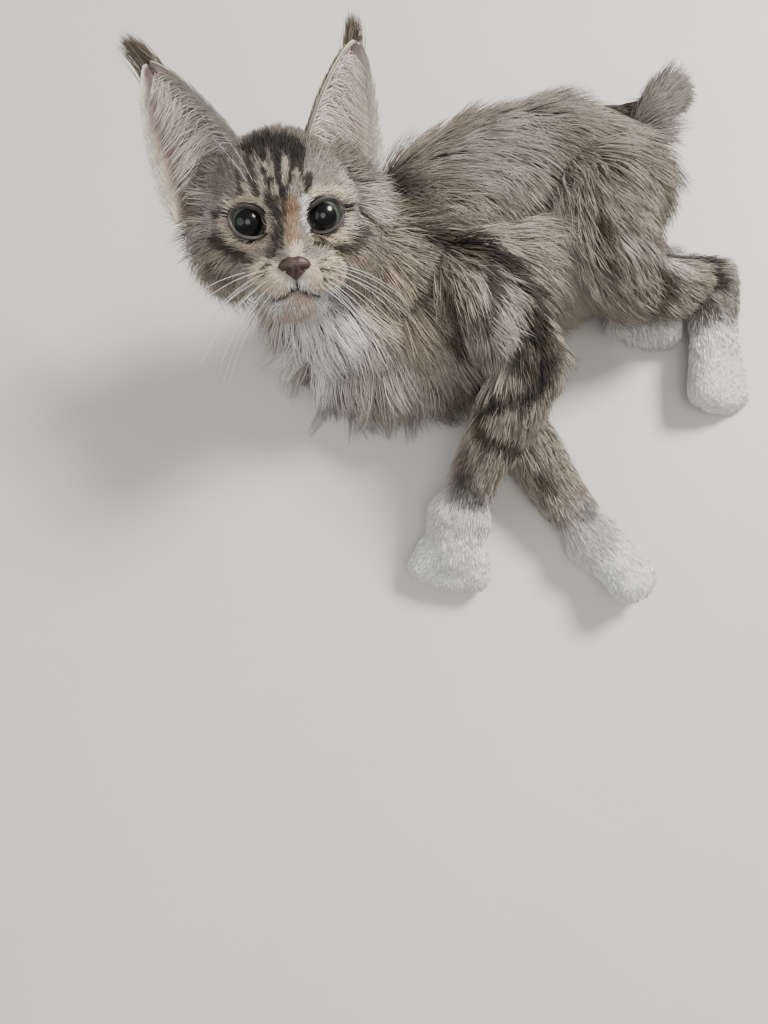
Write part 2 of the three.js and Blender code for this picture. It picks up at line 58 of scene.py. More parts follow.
# The photograph's camera, in the kitten's frame
PHOTO_WIDTH = 768
PHOTO_HEIGHT = 1024
FOCAL_PIXELS = 769
CAMERA_HEIGHT = 360
CAMERA_TILT = math.radians(11)
CAMERA_AT = np.array([0.0, 0.0, CAMERA_HEIGHT])
CAMERA_RIGHT = np.array([1.0, 0.0, 0.0])
CAMERA_UP = np.array([0.0, math.cos(CAMERA_TILT), math.sin(CAMERA_TILT)])
CAMERA_LOOK = np.array([0.0, math.sin(CAMERA_TILT), -math.cos(CAMERA_TILT)])

# The head's own frame: x to the kitten's left cheek, y to the crown, z out along the gaze
HEAD_X = np.array([0.981, 0.162, -0.108])
HEAD_Y = np.array([-0.091, 0.871, 0.483])
HEAD_Z = np.array([0.172, -0.464, 0.869])
HEAD_AT = np.array([-38.0, 164.5, 93.0])
HEAD_TURN = np.stack([HEAD_X, HEAD_Y, HEAD_Z])
EYE_RADIUS = 8.2
EYE_AT = {"eye_right": (-13.7, 0.0, 12.6), "eye_left": (13.7, 0.0, 12.6)}


def on_head(points):
    return np.asarray(points, float) @ HEAD_TURN + HEAD_AT


def in_head(points):
    return (np.asarray(points, float) - HEAD_AT) @ np.linalg.inv(HEAD_TURN)


def unit(vectors):
    return vectors / np.maximum(np.linalg.norm(vectors, axis=-1, keepdims=True), 1e-9)


def smooth_step(low, high, value):
    share = np.clip((value - low) / (high - low), 0, 1)
    return share * share * (3 - 2 * share)


eye_low, eye_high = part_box("eye_left")
SHIFT = np.array((eye_low + eye_high) / 2) / MM - on_head(EYE_AT["eye_left"])


def onto_floor(points):
    return (np.asarray(points, float) + SHIFT) * MM


# Flesh: chains of stations (x, y, z, radius), with the depth of coat that lies over each
FLESH = {
    "spine": [(14, 194, 43, 31), (44, 214, 38, 35), (74, 224, 35, 36), (106, 220, 34, 29)],
    "belly": [(18, 158, 34, 30), (48, 170, 32, 33), (80, 186, 32, 32), (102, 198, 35, 24)],
    "breast": [(30, 150, 28, 28), (4, 146, 26, 26), (-18, 149, 25, 22), (-27, 146, 34, 15)],
    "neck": [(20, 178, 46, 27), (-14, 170, 56, 25), (-34, 168, 72, 23)],
    "throat": [(2, 154, 34, 22), (-25, 152, 52, 18), (-37, 149, 55, 14), (-36, 151, 70, 14)],
    "upper_arm_left": [(34, 164, 54, 22), (50, 142, 58, 20), (61, 124, 55, 17.5)],
    "forearm_left": [(61, 124, 55, 16), (54, 106, 47, 14.5), (42, 84, 32, 12), (34, 64, 18, 11.5)],
    "upper_arm_right": [(44, 152, 26, 20), (54, 124, 21, 18), (63, 104, 18, 16)],
    "forearm_right": [(63, 104, 17.5, 14.5), (78, 80, 14, 12.5), (96, 55, 11.5, 11)],
    "thigh_left": [(92, 204, 50, 26), (98, 180, 48, 25), (108, 168, 43, 19)],
    "shin_left": [(108, 168, 42, 16.5), (130, 168, 35, 13.5), (152, 179, 23, 10.5)],
    "thigh_right": [(104, 206, 19, 20), (113, 182, 17, 17.5)],
    "shin_right": [(113, 182, 14, 13), (128, 187, 11, 10.5), (139, 190, 9.5, 9.5)],
    "tail": [
        (114, 228, 38, 12), (123, 248, 42, 8.5), (131, 261, 42, 8), (140, 270, 31, 8),
        (140, 276, 17, 8), (131, 277, 9, 7.2), (112, 275, 6.6, 6.2), (92, 275, 6, 5.4),
    ],
}
FLESH_LINES = {name: [station[:3] for station in FLESH[name]] for name in ("spine", "belly")}

# Paws: wrist and middle toe, the radius at the wrist and at the instep, and the way across the row of toes
PAWS = {
    "forepaw_left": dict(
        wrist=(34, 64, 17), toes=(29.5, 38, 6.4), radius=12.2, height=10.2, across=(1.1, -0.2, 0.04)
    ),
    "forepaw_right": dict(
        wrist=(96, 55, 11.2), toes=(116, 35.5, 9.5), radius=10.8, height=8.8, across=(0.45, 0.5, -0.74)
    ),
    "hindpaw_left": dict(
        wrist=(156, 177, 20), toes=(161, 123, 7.6), radius=10, height=8.2, across=(0.86, 0.05, -0.5)
    ),
    "hindpaw_right": dict(
        wrist=(140, 189, 9.4), toes=(126.6, 160.4, 6.6), radius=9.2, height=8, across=(0.9, -0.43, 0)
    ),
}
TOE_RADIUS = 5.7
TOE_PITCH = 6.9
TOE_SETBACK = 2.2
INSTEP_AT = 0.55
INSTEP_PITCH = 3.2

# The head's chains in its own frame: skull, bridge, jaw, cheeks, feet of the ears, whisker pads, brows
HEAD_FLESH = [
    [(0, 5, -4, 27.5), (0, 8, 2, 24.5)],
    [(0, -2, 15, 9.5), (0, -14.5, 25.5, 6)],
    [(0, -20, 10, 14.5), (0, -28.4, 19.5, 6.6)],
    [(15, -9, 2, 15.5), (22, -12, -5, 12.5)],
    [(-14, -9, 2, 15), (-20, -11, -4, 12)],
    [(19, 15, -8, 13), (29, 7, -9, 9.5)],
    [(-18, 15, -8, 12.5), (-23.5, 7, -8, 9), (-22, -4, -6, 11)],
    [(5.8, -19.4, 23.6, 7.4), (10.0, -18.6, 17.8, 8.8)],
    [(-5.8, -19.4, 23.6, 7.4), (-10.0, -18.6, 17.8, 8.8)],
    [(12, 9, 13, 8), (17, 4, 10, 8)],
    [(-12, 9, 13, 8), (-17, 4, 10, 8)],
]

# Coat of each part: depth under the tips, tuft length, stand off the skin, width, tufts per mm2, clumping
COATS = {
    "torso": dict(depth=6, length=25, stand=0.27, width=0.52, dense=0.62, clump=0.45),
    "breast": dict(depth=6, length=38, stand=0.42, width=0.56, dense=0.8, clump=0.86),
    "neck": dict(depth=5, length=24, stand=0.36, width=0.58, dense=0.8, clump=0.5),
    "throat": dict(depth=4, length=31, stand=0.38, width=0.5, dense=0.9, clump=0.75),
    "upper_arm": dict(depth=4, length=15, stand=0.28, width=0.5, dense=0.95, clump=0.5),
    "forearm": dict(depth=1.6, length=8.5, stand=0.27, width=0.42, dense=1.5, clump=0.4),
    "thigh": dict(depth=4.5, length=19, stand=0.28, width=0.55, dense=0.75, clump=0.45),
    "shin": dict(depth=2.0, length=10, stand=0.3, width=0.45, dense=1.3, clump=0.45),
    "paw": dict(depth=-1.9, length=3.0, stand=0.22, width=0.36, dense=2.3, clump=0.35),
    "head": dict(depth=1.0, length=4.0, stand=0.3, width=0.28, dense=2.7, clump=0.25),
    "tail": dict(depth=3, length=17, stand=0.34, width=0.52, dense=1.0, clump=0.5),
}
KIND_OF = {name: name.rsplit("_", 1)[0] for name in FLESH}
KIND_OF.update(spine="torso", belly="torso", breast="breast", neck="neck", throat="throat", tail="tail")


def paw_chains(wrist, toes, radius, height, across):
    wrist, toes, across = (np.array(v, float) for v in (wrist, toes, across))
    aim = unit(toes - wrist)
    middle = wrist + (toes - wrist) * INSTEP_AT
    chains = [[(*wrist, radius), (*middle, height)]]
    for place in (-1.5, -0.5, 0.5, 1.5):
        tip = toes + across * place * TOE_PITCH - aim * abs(place) * TOE_SETBACK
        chains.append([(*(middle + across * place * INSTEP_PITCH), height * 0.8), (*tip, TOE_RADIUS)])
    return chains


# Every chain as (part, kind, stations)
CHAINS = [(name, KIND_OF[name], np.array(stations, float)) for name, stations in FLESH.items()]
for paw_name, paw in PAWS.items():
    CHAINS += [(paw_name, "paw", np.array(chain, float)) for chain in paw_chains(**paw)]
for chain in HEAD_FLESH:
    stations = np.array(chain, float)
    stations[:, :3] = on_head(stations[:, :3])
    CHAINS.append(("head", "head", stations))
PARTS = list(dict.fromkeys(part for part, _, _ in CHAINS))


def deselect():
    if bpy.context.view_layer.objects.active and bpy.context.object.mode != "OBJECT":
        bpy.ops.object.mode_set(mode="OBJECT")
    bpy.ops.object.select_all(action="DESELECT")


def make_active(piece):
    deselect()
    piece.select_set(True)
    bpy.context.view_layer.objects.active = piece


def apply_modifier(piece, kind, **settings):
    make_active(piece)
    modifier = piece.modifiers.new(kind.lower(), kind)
    for key, value in settings.items():
        setattr(modifier, key, value)
    bpy.ops.object.modifier_apply(modifier=modifier.name)


def finished(piece, finish):
    """The piece with its material, shaded smooth."""
    piece.data.materials.append(finish)
    make_active(piece)
    bpy.ops.object.shade_smooth()
    return piece


def vertices_of(piece, key="co"):
    values = np.zeros(len(piece.data.vertices) * 3, np.float32)
    piece.data.vertices.foreach_get(key, values)
    return values.reshape(-1, 3).astype(float)


def normals_of(piece):
    return vertices_of(piece, "normal")


def set_vertices(piece, points):
    piece.data.vertices.foreach_set("co", points.astype(np.float32).ravel())
    piece.data.update()


def mesh_piece(name, points, faces):
    mesh = bpy.data.meshes.new(name)
    mesh.from_pydata(points.tolist(), [], faces.tolist() if hasattr(faces, "tolist") else faces)
    piece = bpy.data.objects.new(name, mesh)
    bpy.context.scene.collection.objects.link(piece)
    return piece


# Shader maths as plain expressions
class Socket:
    """A shader socket that Python's operators work on."""

    def __init__(self, tree, socket):
        self.tree = tree
        self.socket = socket

    def math(self, operation, *others):
        node = self.tree.nodes.new("ShaderNodeMath")
        node.operation = operation
        for place, value in enumerate((self, *others)):
            put(self.tree, node.inputs[place], value)
        return Socket(self.tree, node.outputs[0])

    def __add__(self, other):
        return self.math("ADD", other)

    def __mul__(self, other):
        return self.math("MULTIPLY", other)

    def __sub__(self, other):
        return self.math("SUBTRACT", other)

    def __rsub__(self, other):
        return (self * -1) + other

    def __truediv__(self, other):
        return self.math("DIVIDE", other)

    __radd__ = __add__
    __rmul__ = __mul__

    def clamp(self):
        return self.math("MAXIMUM", 0.0).math("MINIMUM", 1.0)

    def ramp(self, low, high):
        return ((self - low) / (high - low)).clamp()


def put(tree, target, value):
    if isinstance(value, Socket):
        tree.links.new(value.socket, target)
    else:
        target.default_value = value


class Finish:
    """A material and the few calls that build its nodes."""

    def __init__(self, name, **sockets):
        self.material = bpy.data.materials.new(name)
        self.material.use_nodes = True
        self.tree = self.material.node_tree
        self.shader = self.tree.nodes["Principled BSDF"]
        self.set(**sockets)

    def set(self, **sockets):
        for key, value in sockets.items():
            put(self.tree, self.shader.inputs[key.replace("_", " ")], value)
        return self

    def node(self, kind, settings=None, output=0, **inputs):
        node = self.tree.nodes.new(kind)
        for key, value in (settings or {}).items():
            setattr(node, key, value)
        for key, value in inputs.items():
            target = node.inputs[int(key[1:])] if key[0] == "_" else node.inputs[key.replace("_", " ")]
            put(self.tree, target, value)
        return Socket(self.tree, node.outputs[output])

    def attribute(self, name, output="Fac"):
        return self.node("ShaderNodeAttribute", {"attribute_name": name}, output=output)

    def place(self):
        return self.node("ShaderNodeTexCoord", output="Object")

    def noise(self, scale, detail=3.0, rough=0.55):
        place = self.place()
        return self.node("ShaderNodeTexNoise", Vector=place, Scale=scale, Detail=detail, Roughness=rough)

    def mix(self, share, low, high, blend="MIX"):
        settings = {"data_type": "RGBA", "blend_type": blend}
        return self.node("ShaderNodeMix", settings, output=2, _0=share, _6=low, _7=high)

    def bump(self, height, distance, strength=1.0):
        normal = self.node("ShaderNodeBump", Strength=strength, Distance=distance, Height=height)
        return self.set(Normal=normal)

    def grey(self, value):
        return self.node("ShaderNodeCombineColor", _0=value, _1=value, _2=value)


def coat_finish():
    finish = Finish("coat", Roughness=0.62, Specular_IOR_Level=0.28)
    colour = finish.attribute("hair_colour", output="Color")
    tick = finish.attribute("hair_colour", output="Alpha")
    along = finish.attribute("hair_along")
    chance = finish.attribute("hair_chance")
    # Darker towards each tuft's root: painted shade deep in the coat, stronger where the coat is ticked
    shaded = tick.ramp(0.0, 0.4) * 0.65 + 0.35
    level = (1.0 - shaded * 0.36 * (1.0 - along.ramp(0.0, 0.45))) * (chance * 0.34 + 0.83)
    level = level * (finish.noise(900.0) * 0.3 + 0.85)
    toned = finish.mix(1.0, colour, finish.grey(level), blend="MULTIPLY")
    tip = along.ramp(0.55, 0.98) * tick * (chance.ramp(0.25, 0.75) * 0.8 + 0.2)
    return finish.set(Base_Color=finish.mix(tip, toned, (0.045, 0.036, 0.030, 1.0))).material


def skin_finish():
    finish = Finish("skin", Roughness=0.75, Specular_IOR_Level=0.2)
    colour = finish.attribute("hair_colour", output="Color")
    fibres = finish.noise(1400.0, 4.0, 0.7)
    level = finish.grey(fibres * 0.7 + 0.42)
    finish.set(Base_Color=finish.mix(1.0, colour, level, blend="MULTIPLY"))
    return finish.bump(fibres, 0.0004, 0.5).material


def ear_finish():
    finish = Finish("ear_skin", Roughness=0.55, Subsurface_Weight=0.12, Subsurface_Scale=0.003)
    finish.set(Subsurface_Radius=(1.0, 0.35, 0.25))
    colour = finish.attribute("hair_colour", output="Color")
    veins = finish.noise(260.0, 5.0, 0.6)
    finish.set(Base_Color=finish.mix(1.0, colour, finish.grey(veins * 0.5 + 0.72), blend="MULTIPLY"))
    return finish.bump(finish.noise(700.0), 0.0003, 0.4).material


# Edges in the eye, in millimetres from the middle of the pupil: where each begins and where it is full
PUPIL_EDGE = (5.0, 5.3)
IRIS_EDGE = (6.2, 6.8)
WHITE_EDGE = (7.3, 7.9)


def eye_finish():
    finish = Finish("eye", Roughness=0.3, Specular_IOR_Level=0.1)
    finish.set(Coat_Weight=1.0, Coat_Roughness=0.02, Coat_IOR=1.34)
    reach = finish.attribute("from_pupil")
    fibres = finish.noise(1500.0, 4.0, 0.65)
    iris = finish.mix(fibres.ramp(0.35, 0.7), (0.02, 0.028, 0.02, 1.0), (0.085, 0.10, 0.07, 1.0))
    iris = finish.mix(reach.ramp(*IRIS_EDGE), iris, (0.012, 0.014, 0.012, 1.0))
    ball = finish.mix(reach.ramp(*WHITE_EDGE), iris, (0.16, 0.12, 0.10, 1.0))
    ball = finish.mix(reach.ramp(*PUPIL_EDGE), (0.002, 0.002, 0.002, 1.0), ball)
    return finish.set(Base_Color=ball).material


def leather_finish(name, dark, light, rough):
    finish = Finish(name, Roughness=rough, Coat_Weight=0.12, Coat_Roughness=0.3)
    grain = finish.node("ShaderNodeTexVoronoi", Vector=finish.place(), Scale=2200.0)
    finish.set(Base_Color=finish.mix(finish.noise(420.0).ramp(0.3, 0.7), dark, light))
    return finish.bump(grain, 0.00012, 0.6).material


def whisker_finish():
    finish = Finish("whisker", Roughness=0.35, Specular_IOR_Level=0.6)
    level = finish.attribute("hair_along") * 0.25 + 0.68
    yellowed = finish.noise(300.0) * 0.2
    return finish.set(Base_Color=finish.mix(yellowed, finish.grey(level), (0.8, 0.74, 0.62, 1.0))).material


def floor_finish():
    finish = Finish("floor", Roughness=0.6)
    finish.set(Base_Color=finish.mix(finish.noise(9.0), (0.60, 0.575, 0.54, 1.0), (0.66, 0.635, 0.60, 1.0)))
    return finish.bump(finish.noise(240.0), 0.0002, 0.2).material


# The skin: beads of flesh along every chain, fused, smoothed and shaped at the face
SKIN_VOXEL = 0.00125
BEAD_PITCH = 2.6
LEAST_RADIUS = 3.4
# The second smoothing leaves the head and the toes alone: where it begins and where it is full
CLEAR_OF_HEAD = (30, 44)
CLEAR_OF_TOES = (20, 32)
SOFT_LEVELS = 10
FLOOR_GAP = 0.0006


def bead_points():
    beads = []
    for _, kind, stations in CHAINS:
        depth = COATS[kind]["depth"]
        for start, end in zip(stations[:-1], stations[1:]):
            count = max(2, int(np.linalg.norm(end[:3] - start[:3]) / BEAD_PITCH) + 1)
            for share in np.linspace(0, 1, count):
                bead = start + (end - start) * share
                beads.append((*bead[:3], max(bead[3] - depth, LEAST_RADIUS)))
    return np.array(beads)


def make_skin():
    bpy.ops.mesh.primitive_ico_sphere_add(subdivisions=3, radius=1.0)
    bead = bpy.context.object
    shell = vertices_of(bead)
    faces = np.array([list(face.vertices) for face in bead.data.polygons])
    bpy.data.objects.remove(bead)
    beads = bead_points()
    points = beads[:, None, :3] + shell[None] * beads[:, None, 3:]
    joined = faces[None] + (np.arange(len(beads)) * len(shell))[:, None, None]
    skin = mesh_piece("skin", onto_floor(points.reshape(-1, 3)), joined.reshape(-1, 3))
    apply_modifier(skin, "REMESH", mode="VOXEL", voxel_size=SKIN_VOXEL, use_smooth_shade=True)
    apply_modifier(skin, "SMOOTH", factor=0.5, iterations=7)
    points = vertices_of(skin) / MM - SHIFT
    body = smooth_step(*CLEAR_OF_HEAD, np.linalg.norm(points - HEAD_AT, axis=1))
    soft = skin.vertex_groups.new(name="soft")
    toes = np.min([np.linalg.norm(points - np.array(paw["toes"]), axis=1) for paw in PAWS.values()], axis=0)
    body *= smooth_step(*CLEAR_OF_TOES, toes)
    for level in range(1, SOFT_LEVELS + 1):
        chosen = np.nonzero(np.round(body * SOFT_LEVELS) == level)[0]
        soft.add(chosen.tolist(), level / SOFT_LEVELS, "REPLACE")
    apply_modifier(skin, "SMOOTH", factor=0.5, iterations=24, vertex_group="soft")
    shape_face(skin)
    points = vertices_of(skin)
    points[:, 2] = np.maximum(points[:, 2], FLOOR_GAP)
    set_vertices(skin, points)
    return skin


# The face in the head's own frame; the eye's opening is half its width and half its height
NOSE_Y = -16.9
EYE_OPENING = (6.4, 5.2)
EYE_TILT = 0.9
MOUTH_LINE = [
    (-8.6, -27.4), (-6.2, -27.0), (-3.0, -25.6), (0, -23.6), (3.0, -25.6), (6.2, -27.0), (8.6, -27.4),
]
PHILTRUM = [(0, -18), (0, -23.8)]


def line_distance(points, line):
    """Distance from each point to a line of two stops or more, in as many dimensions as they have."""
    line = np.asarray(line, float)
    best = np.full(len(points), np.inf)
    for start, end in zip(line[:-1], line[1:]):
        step = end - start
        share = np.clip((points - start) @ step / (step @ step), 0, 1)
        best = np.minimum(best, np.linalg.norm(points - start - share[:, None] * step, axis=1))
    return best


def shape_face(skin):
    points = vertices_of(skin) / MM - SHIFT
    head = in_head(points)
    near = (np.linalg.norm(points - HEAD_AT, axis=1) < 50) & (head[:, 2] > 5)
    for centre in EYE_AT.values():
        x = (head[:, 0] - centre[0]) * np.sign(centre[0]) / EYE_OPENING[0]
        y = (head[:, 1] - centre[1] - EYE_TILT * x) / EYE_OPENING[1]
        rho = np.hypot(x, y)
        flat = np.minimum(rho * 6.2, EYE_RADIUS * 0.995)
        ball = centre[2] + np.sqrt(EYE_RADIUS**2 - flat**2)
        lid = np.where(rho < 1, ball - 2.6 * smooth_step(1.02, 0.86, rho), ball + 0.9)
        share = np.where(rho < 1, 1.0, smooth_step(1.55, 1.1, rho)) * near
        head[:, 2] += (lid - head[:, 2]) * share
    front = near & (head[:, 2] > 14)
    mouth = line_distance(head[:, :2], MOUTH_LINE)
    cleft = line_distance(head[:, :2], PHILTRUM)
    head[:, 2] -= 1.7 * smooth_step(1.7, 0.2, mouth) * front
    head[:, 2] -= 0.9 * smooth_step(1.4, 0.2, cleft) * front
    set_vertices(skin, onto_floor(on_head(head)))


# Lie of the coat and share of each part, at any point
HEAD_NOSE = (0.0, -13.0, 36.0)
CHEST_CENTRE = np.array([0.0, 170.0, 30.0])
# Millimetres over which one part gives way to the next, in its markings and in the lie of its coat
MARKING_BLEND = 3.5
COAT_BLEND = 9


def chain_facts(points):
    """For each point and part: distance to its flesh, and the way the part's chain runs there."""
    distance = {}
    course = {}
    for part, _, stations in CHAINS:
        for start, end in zip(stations[:-1], stations[1:]):
            step = end[:3] - start[:3]
            share = np.clip((points - start[:3]) @ step / (step @ step), 0, 1)
            reach = np.linalg.norm(points - start[:3] - share[:, None] * step, axis=1)
            reach = reach - (start[3] + (end[3] - start[3]) * share)
            if part not in distance:
                distance[part] = np.full(len(points), np.inf)
                course[part] = np.zeros((len(points), 3))
            closer = reach < distance[part]
            distance[part][closer] = reach[closer]
            course[part][closer] = unit(step)
    return distance, course


def lie_of(part, points, course):
    down = np.array([0.0, 0.0, -1.0])
    if part == "head":
        away = unit(in_head(points) - HEAD_NOSE)
        side = smooth_step(13, 24, np.abs(in_head(points)[:, 0]))
        low = smooth_step(-2, -18, in_head(points)[:, 1])
        away[:, 0] *= 1 + side * (0.35 - 0.6 * low)
        away[:, 1] -= side * (0.3 + 0.6 * low)
        away[:, 2] *= 1 - side * (0.6 - 0.3 * low)
        return unit(unit(away) @ HEAD_TURN)
    if part in ("neck", "throat"):
        outward = unit((points - CHEST_CENTRE) * np.array([1, 1, 0]))
        return unit(-course * 0.6 + down * 0.8 + outward * (0.35 if part == "throat" else 0.0))
    if part == "breast":
        outward = unit((points - CHEST_CENTRE) * np.array([1, 1, 0]))
        return unit(outward * 0.7 + down * 0.9)
    if part in ("spine", "belly"):
        return unit(course * 0.55 + np.array([0.25, -0.75, 0.0]) + down * 0.35)
    if part == "thigh_left":
        return unit(np.array([0.35, -0.85, -0.35]))
    if part == "upper_arm_left":
        return unit(course * 0.8 + np.array([0.3, -0.2, -0.4]))
    return course


def head_length(head):
    """Length of the head's fur from its place: shortest on the face, longest on the cheeks and nape."""
    x = np.abs(head[:, 0])
    cheek = smooth_step(17, 29, x) * smooth_step(26, 12, head[:, 1])
    nape = smooth_step(6, -18, head[:, 2])
    face = smooth_step(10, 24, head[:, 2]) * smooth_step(20, 10, x)
    crown = smooth_step(14, 28, head[:, 1])
    jaw = smooth_step(-22, -34, head[:, 1]) * smooth_step(22, 8, head[:, 2])
    return 3.4 + 6.5 * cheek + 7 * nape + 3 * crown + 8 * jaw - 1.4 * face


def coat_facts(points):
    """Shares of the parts, lie, and coat sizes at each point of the skin."""
    distance, course = chain_facts(points)
    nearest = np.min(list(distance.values()), axis=0)
    shares = {part: np.exp(-(distance[part] - nearest) / MARKING_BLEND) for part in PARTS}
    total = sum(shares.values())
    soft = {part: np.exp(-(distance[part] - nearest) / COAT_BLEND) for part in PARTS}
    soft_total = sum(soft.values())
    lie = np.zeros_like(points)
    sizes = {key: np.zeros(len(points)) for key in ("length", "stand", "width", "dense", "clump")}
    kinds = {part: kind for part, kind, _ in CHAINS}
    for part in PARTS:
        shares[part] /= total
        soft[part] /= soft_total
        lie += lie_of(part, points, course[part]) * soft[part][:, None]
        coat = COATS[kinds[part]]
        for key in sizes:
            value = coat[key]
            if key in ("length", "stand") and part == "head":
                reach = head_length(in_head(points))
                value = reach if key == "length" else 0.28 + 0.16 * smooth_step(6, 14, reach)
            sizes[key] += value * soft[part]
    return shares, unit(lie), sizes


# Markings: strokes of colour laid through the camera, each over the ones before it.
# A stroke is its colour, its radius in millimetres, its strength, its stops as pixels of the photograph
# and, away from the face, the parts that it marks.
BLACK = (0.022, 0.019, 0.017)
DARK = (0.055, 0.042, 0.031)
BROWN = (0.175, 0.138, 0.103)
GREY = (0.345, 0.312, 0.268)
BUFF = (0.53, 0.45, 0.34)
PALE = (0.63, 0.59, 0.52)
CREAM = (0.76, 0.65, 0.48)
WHITE = (0.92, 0.91, 0.88)
GINGER = (0.36, 0.225, 0.125)
PINK = (0.50, 0.35, 0.28)
LIP = (0.05, 0.028, 0.024)
EAR_FLESH = (0.20, 0.10, 0.092)
EAR_THIN = (0.44, 0.33, 0.31)
# Painted shade for the deep hollow at the ear's root
EAR_WELL_SHADE = (0.15, 0.07, 0.06)

FACE_STROKES = [
    (BUFF, 9, 0.6, [(215, 262), (240, 285), (262, 300)]),
    (BUFF, 9, 0.55, [(345, 262), (362, 285)]),
    (GINGER, 3.4, 0.8, [(291, 204), (293, 242)]),
    (CREAM, 2.8, 0.9, [(297, 246), (296, 257)]),
    (BLACK, 6.0, 0.95, [(255, 143), (272, 139), (291, 147)]),
    (BLACK, 1.8, 0.95, [(262, 152), (268, 178), (270, 200)]),
    (BLACK, 1.7, 0.95, [(276, 150), (279, 178), (283, 195)]),
    (BLACK, 1.6, 0.95, [(293, 150), (291, 172), (286, 184)]),
    (BLACK, 1.9, 0.95, [(300, 148), (298, 172), (305, 192)]),
    (BLACK, 1.7, 0.9, [(309, 176), (306, 191)]),
    (DARK, 1.6, 0.9, [(248, 152), (250, 172), (256, 194)]),
    (DARK, 1.3, 0.8, [(236, 168), (240, 184), (239, 197)]),
    (BUFF, 0.9, 0.8, [(264, 162), (270, 174)]),
    (BUFF, 1.1, 0.8, [(285, 158), (284, 181)]),
    (BUFF, 1.0, 0.8, [(262, 180), (263, 196)]),
    (BUFF, 1.0, 0.8, [(276, 184), (273, 196)]),
    (BUFF, 1.0, 0.8, [(296, 171), (303, 190)]),
    (BUFF, 1.1, 0.8, [(244, 184), (250, 197)]),
    (DARK, 2.2, 0.92, [(270, 197), (276, 212), (277, 235), (269, 258)]),
    (DARK, 1.1, 0.8, [(284, 200), (282, 225), (281, 246)]),
    (CREAM, 1.8, 0.95, [(264, 206), (269, 218), (270, 231)]),
    (CREAM, 2.6, 0.95, [(222, 222), (232, 238), (247, 244), (264, 240)]),
    (CREAM, 1.7, 0.85, [(227, 207), (244, 199), (259, 202)]),
    (WHITE, 1.9, 0.95, [(304, 199), (302, 215), (306, 228)]),
    (CREAM, 2.6, 0.95, [(311, 236), (322, 241), (337, 238), (347, 226), (347, 212)]),
    (CREAM, 2.2, 0.85, [(315, 193), (331, 190), (347, 199)]),
    (BLACK, 1.4, 0.95, [(345, 205), (356, 211), (366, 224), (378, 234)]),
    (DARK, 2.0, 0.9, [(322, 246), (340, 252), (356, 246), (361, 232)]),
    (PALE, 2.0, 0.8, [(352, 218), (350, 232)]),
    (BLACK, 1.6, 0.95, [(226, 212), (210, 220), (200, 236), (198, 250)]),
    (DARK, 2.2, 0.92, [(212, 234), (222, 248), (238, 257), (254, 262)]),
    (DARK, 2.0, 0.8, [(200, 256), (214, 270), (232, 278)]),
    (CREAM, 6.4, 0.9, [(336, 271), (312, 280)]),
    (CREAM, 6.0, 0.9, [(259, 274), (284, 283)]),
    (WHITE, 2.4, 0.9, [(292, 284), (305, 286)]),
    (PINK, 6.0, 0.75, [(278, 311), (305, 309)]),
    (WHITE, 7.0, 0.85, [(345, 300), (372, 286)]),
    (PALE, 6.0, 0.85, [(368, 178), (372, 208)]),
    (PALE, 5.0, 0.7, [(184, 196), (186, 222)]),
    (DARK, 0.75, 0.9, [(320, 262), (330, 259)]),
    (DARK, 0.7, 0.9, [(321, 271), (335, 269)]),
    (DARK, 0.65, 0.8, [(322, 280), (332, 279)]),
    (DARK, 0.9, 0.9, [(262, 268), (268, 265)]),
    (DARK, 0.7, 0.8, [(256, 275), (264, 275)]),
]
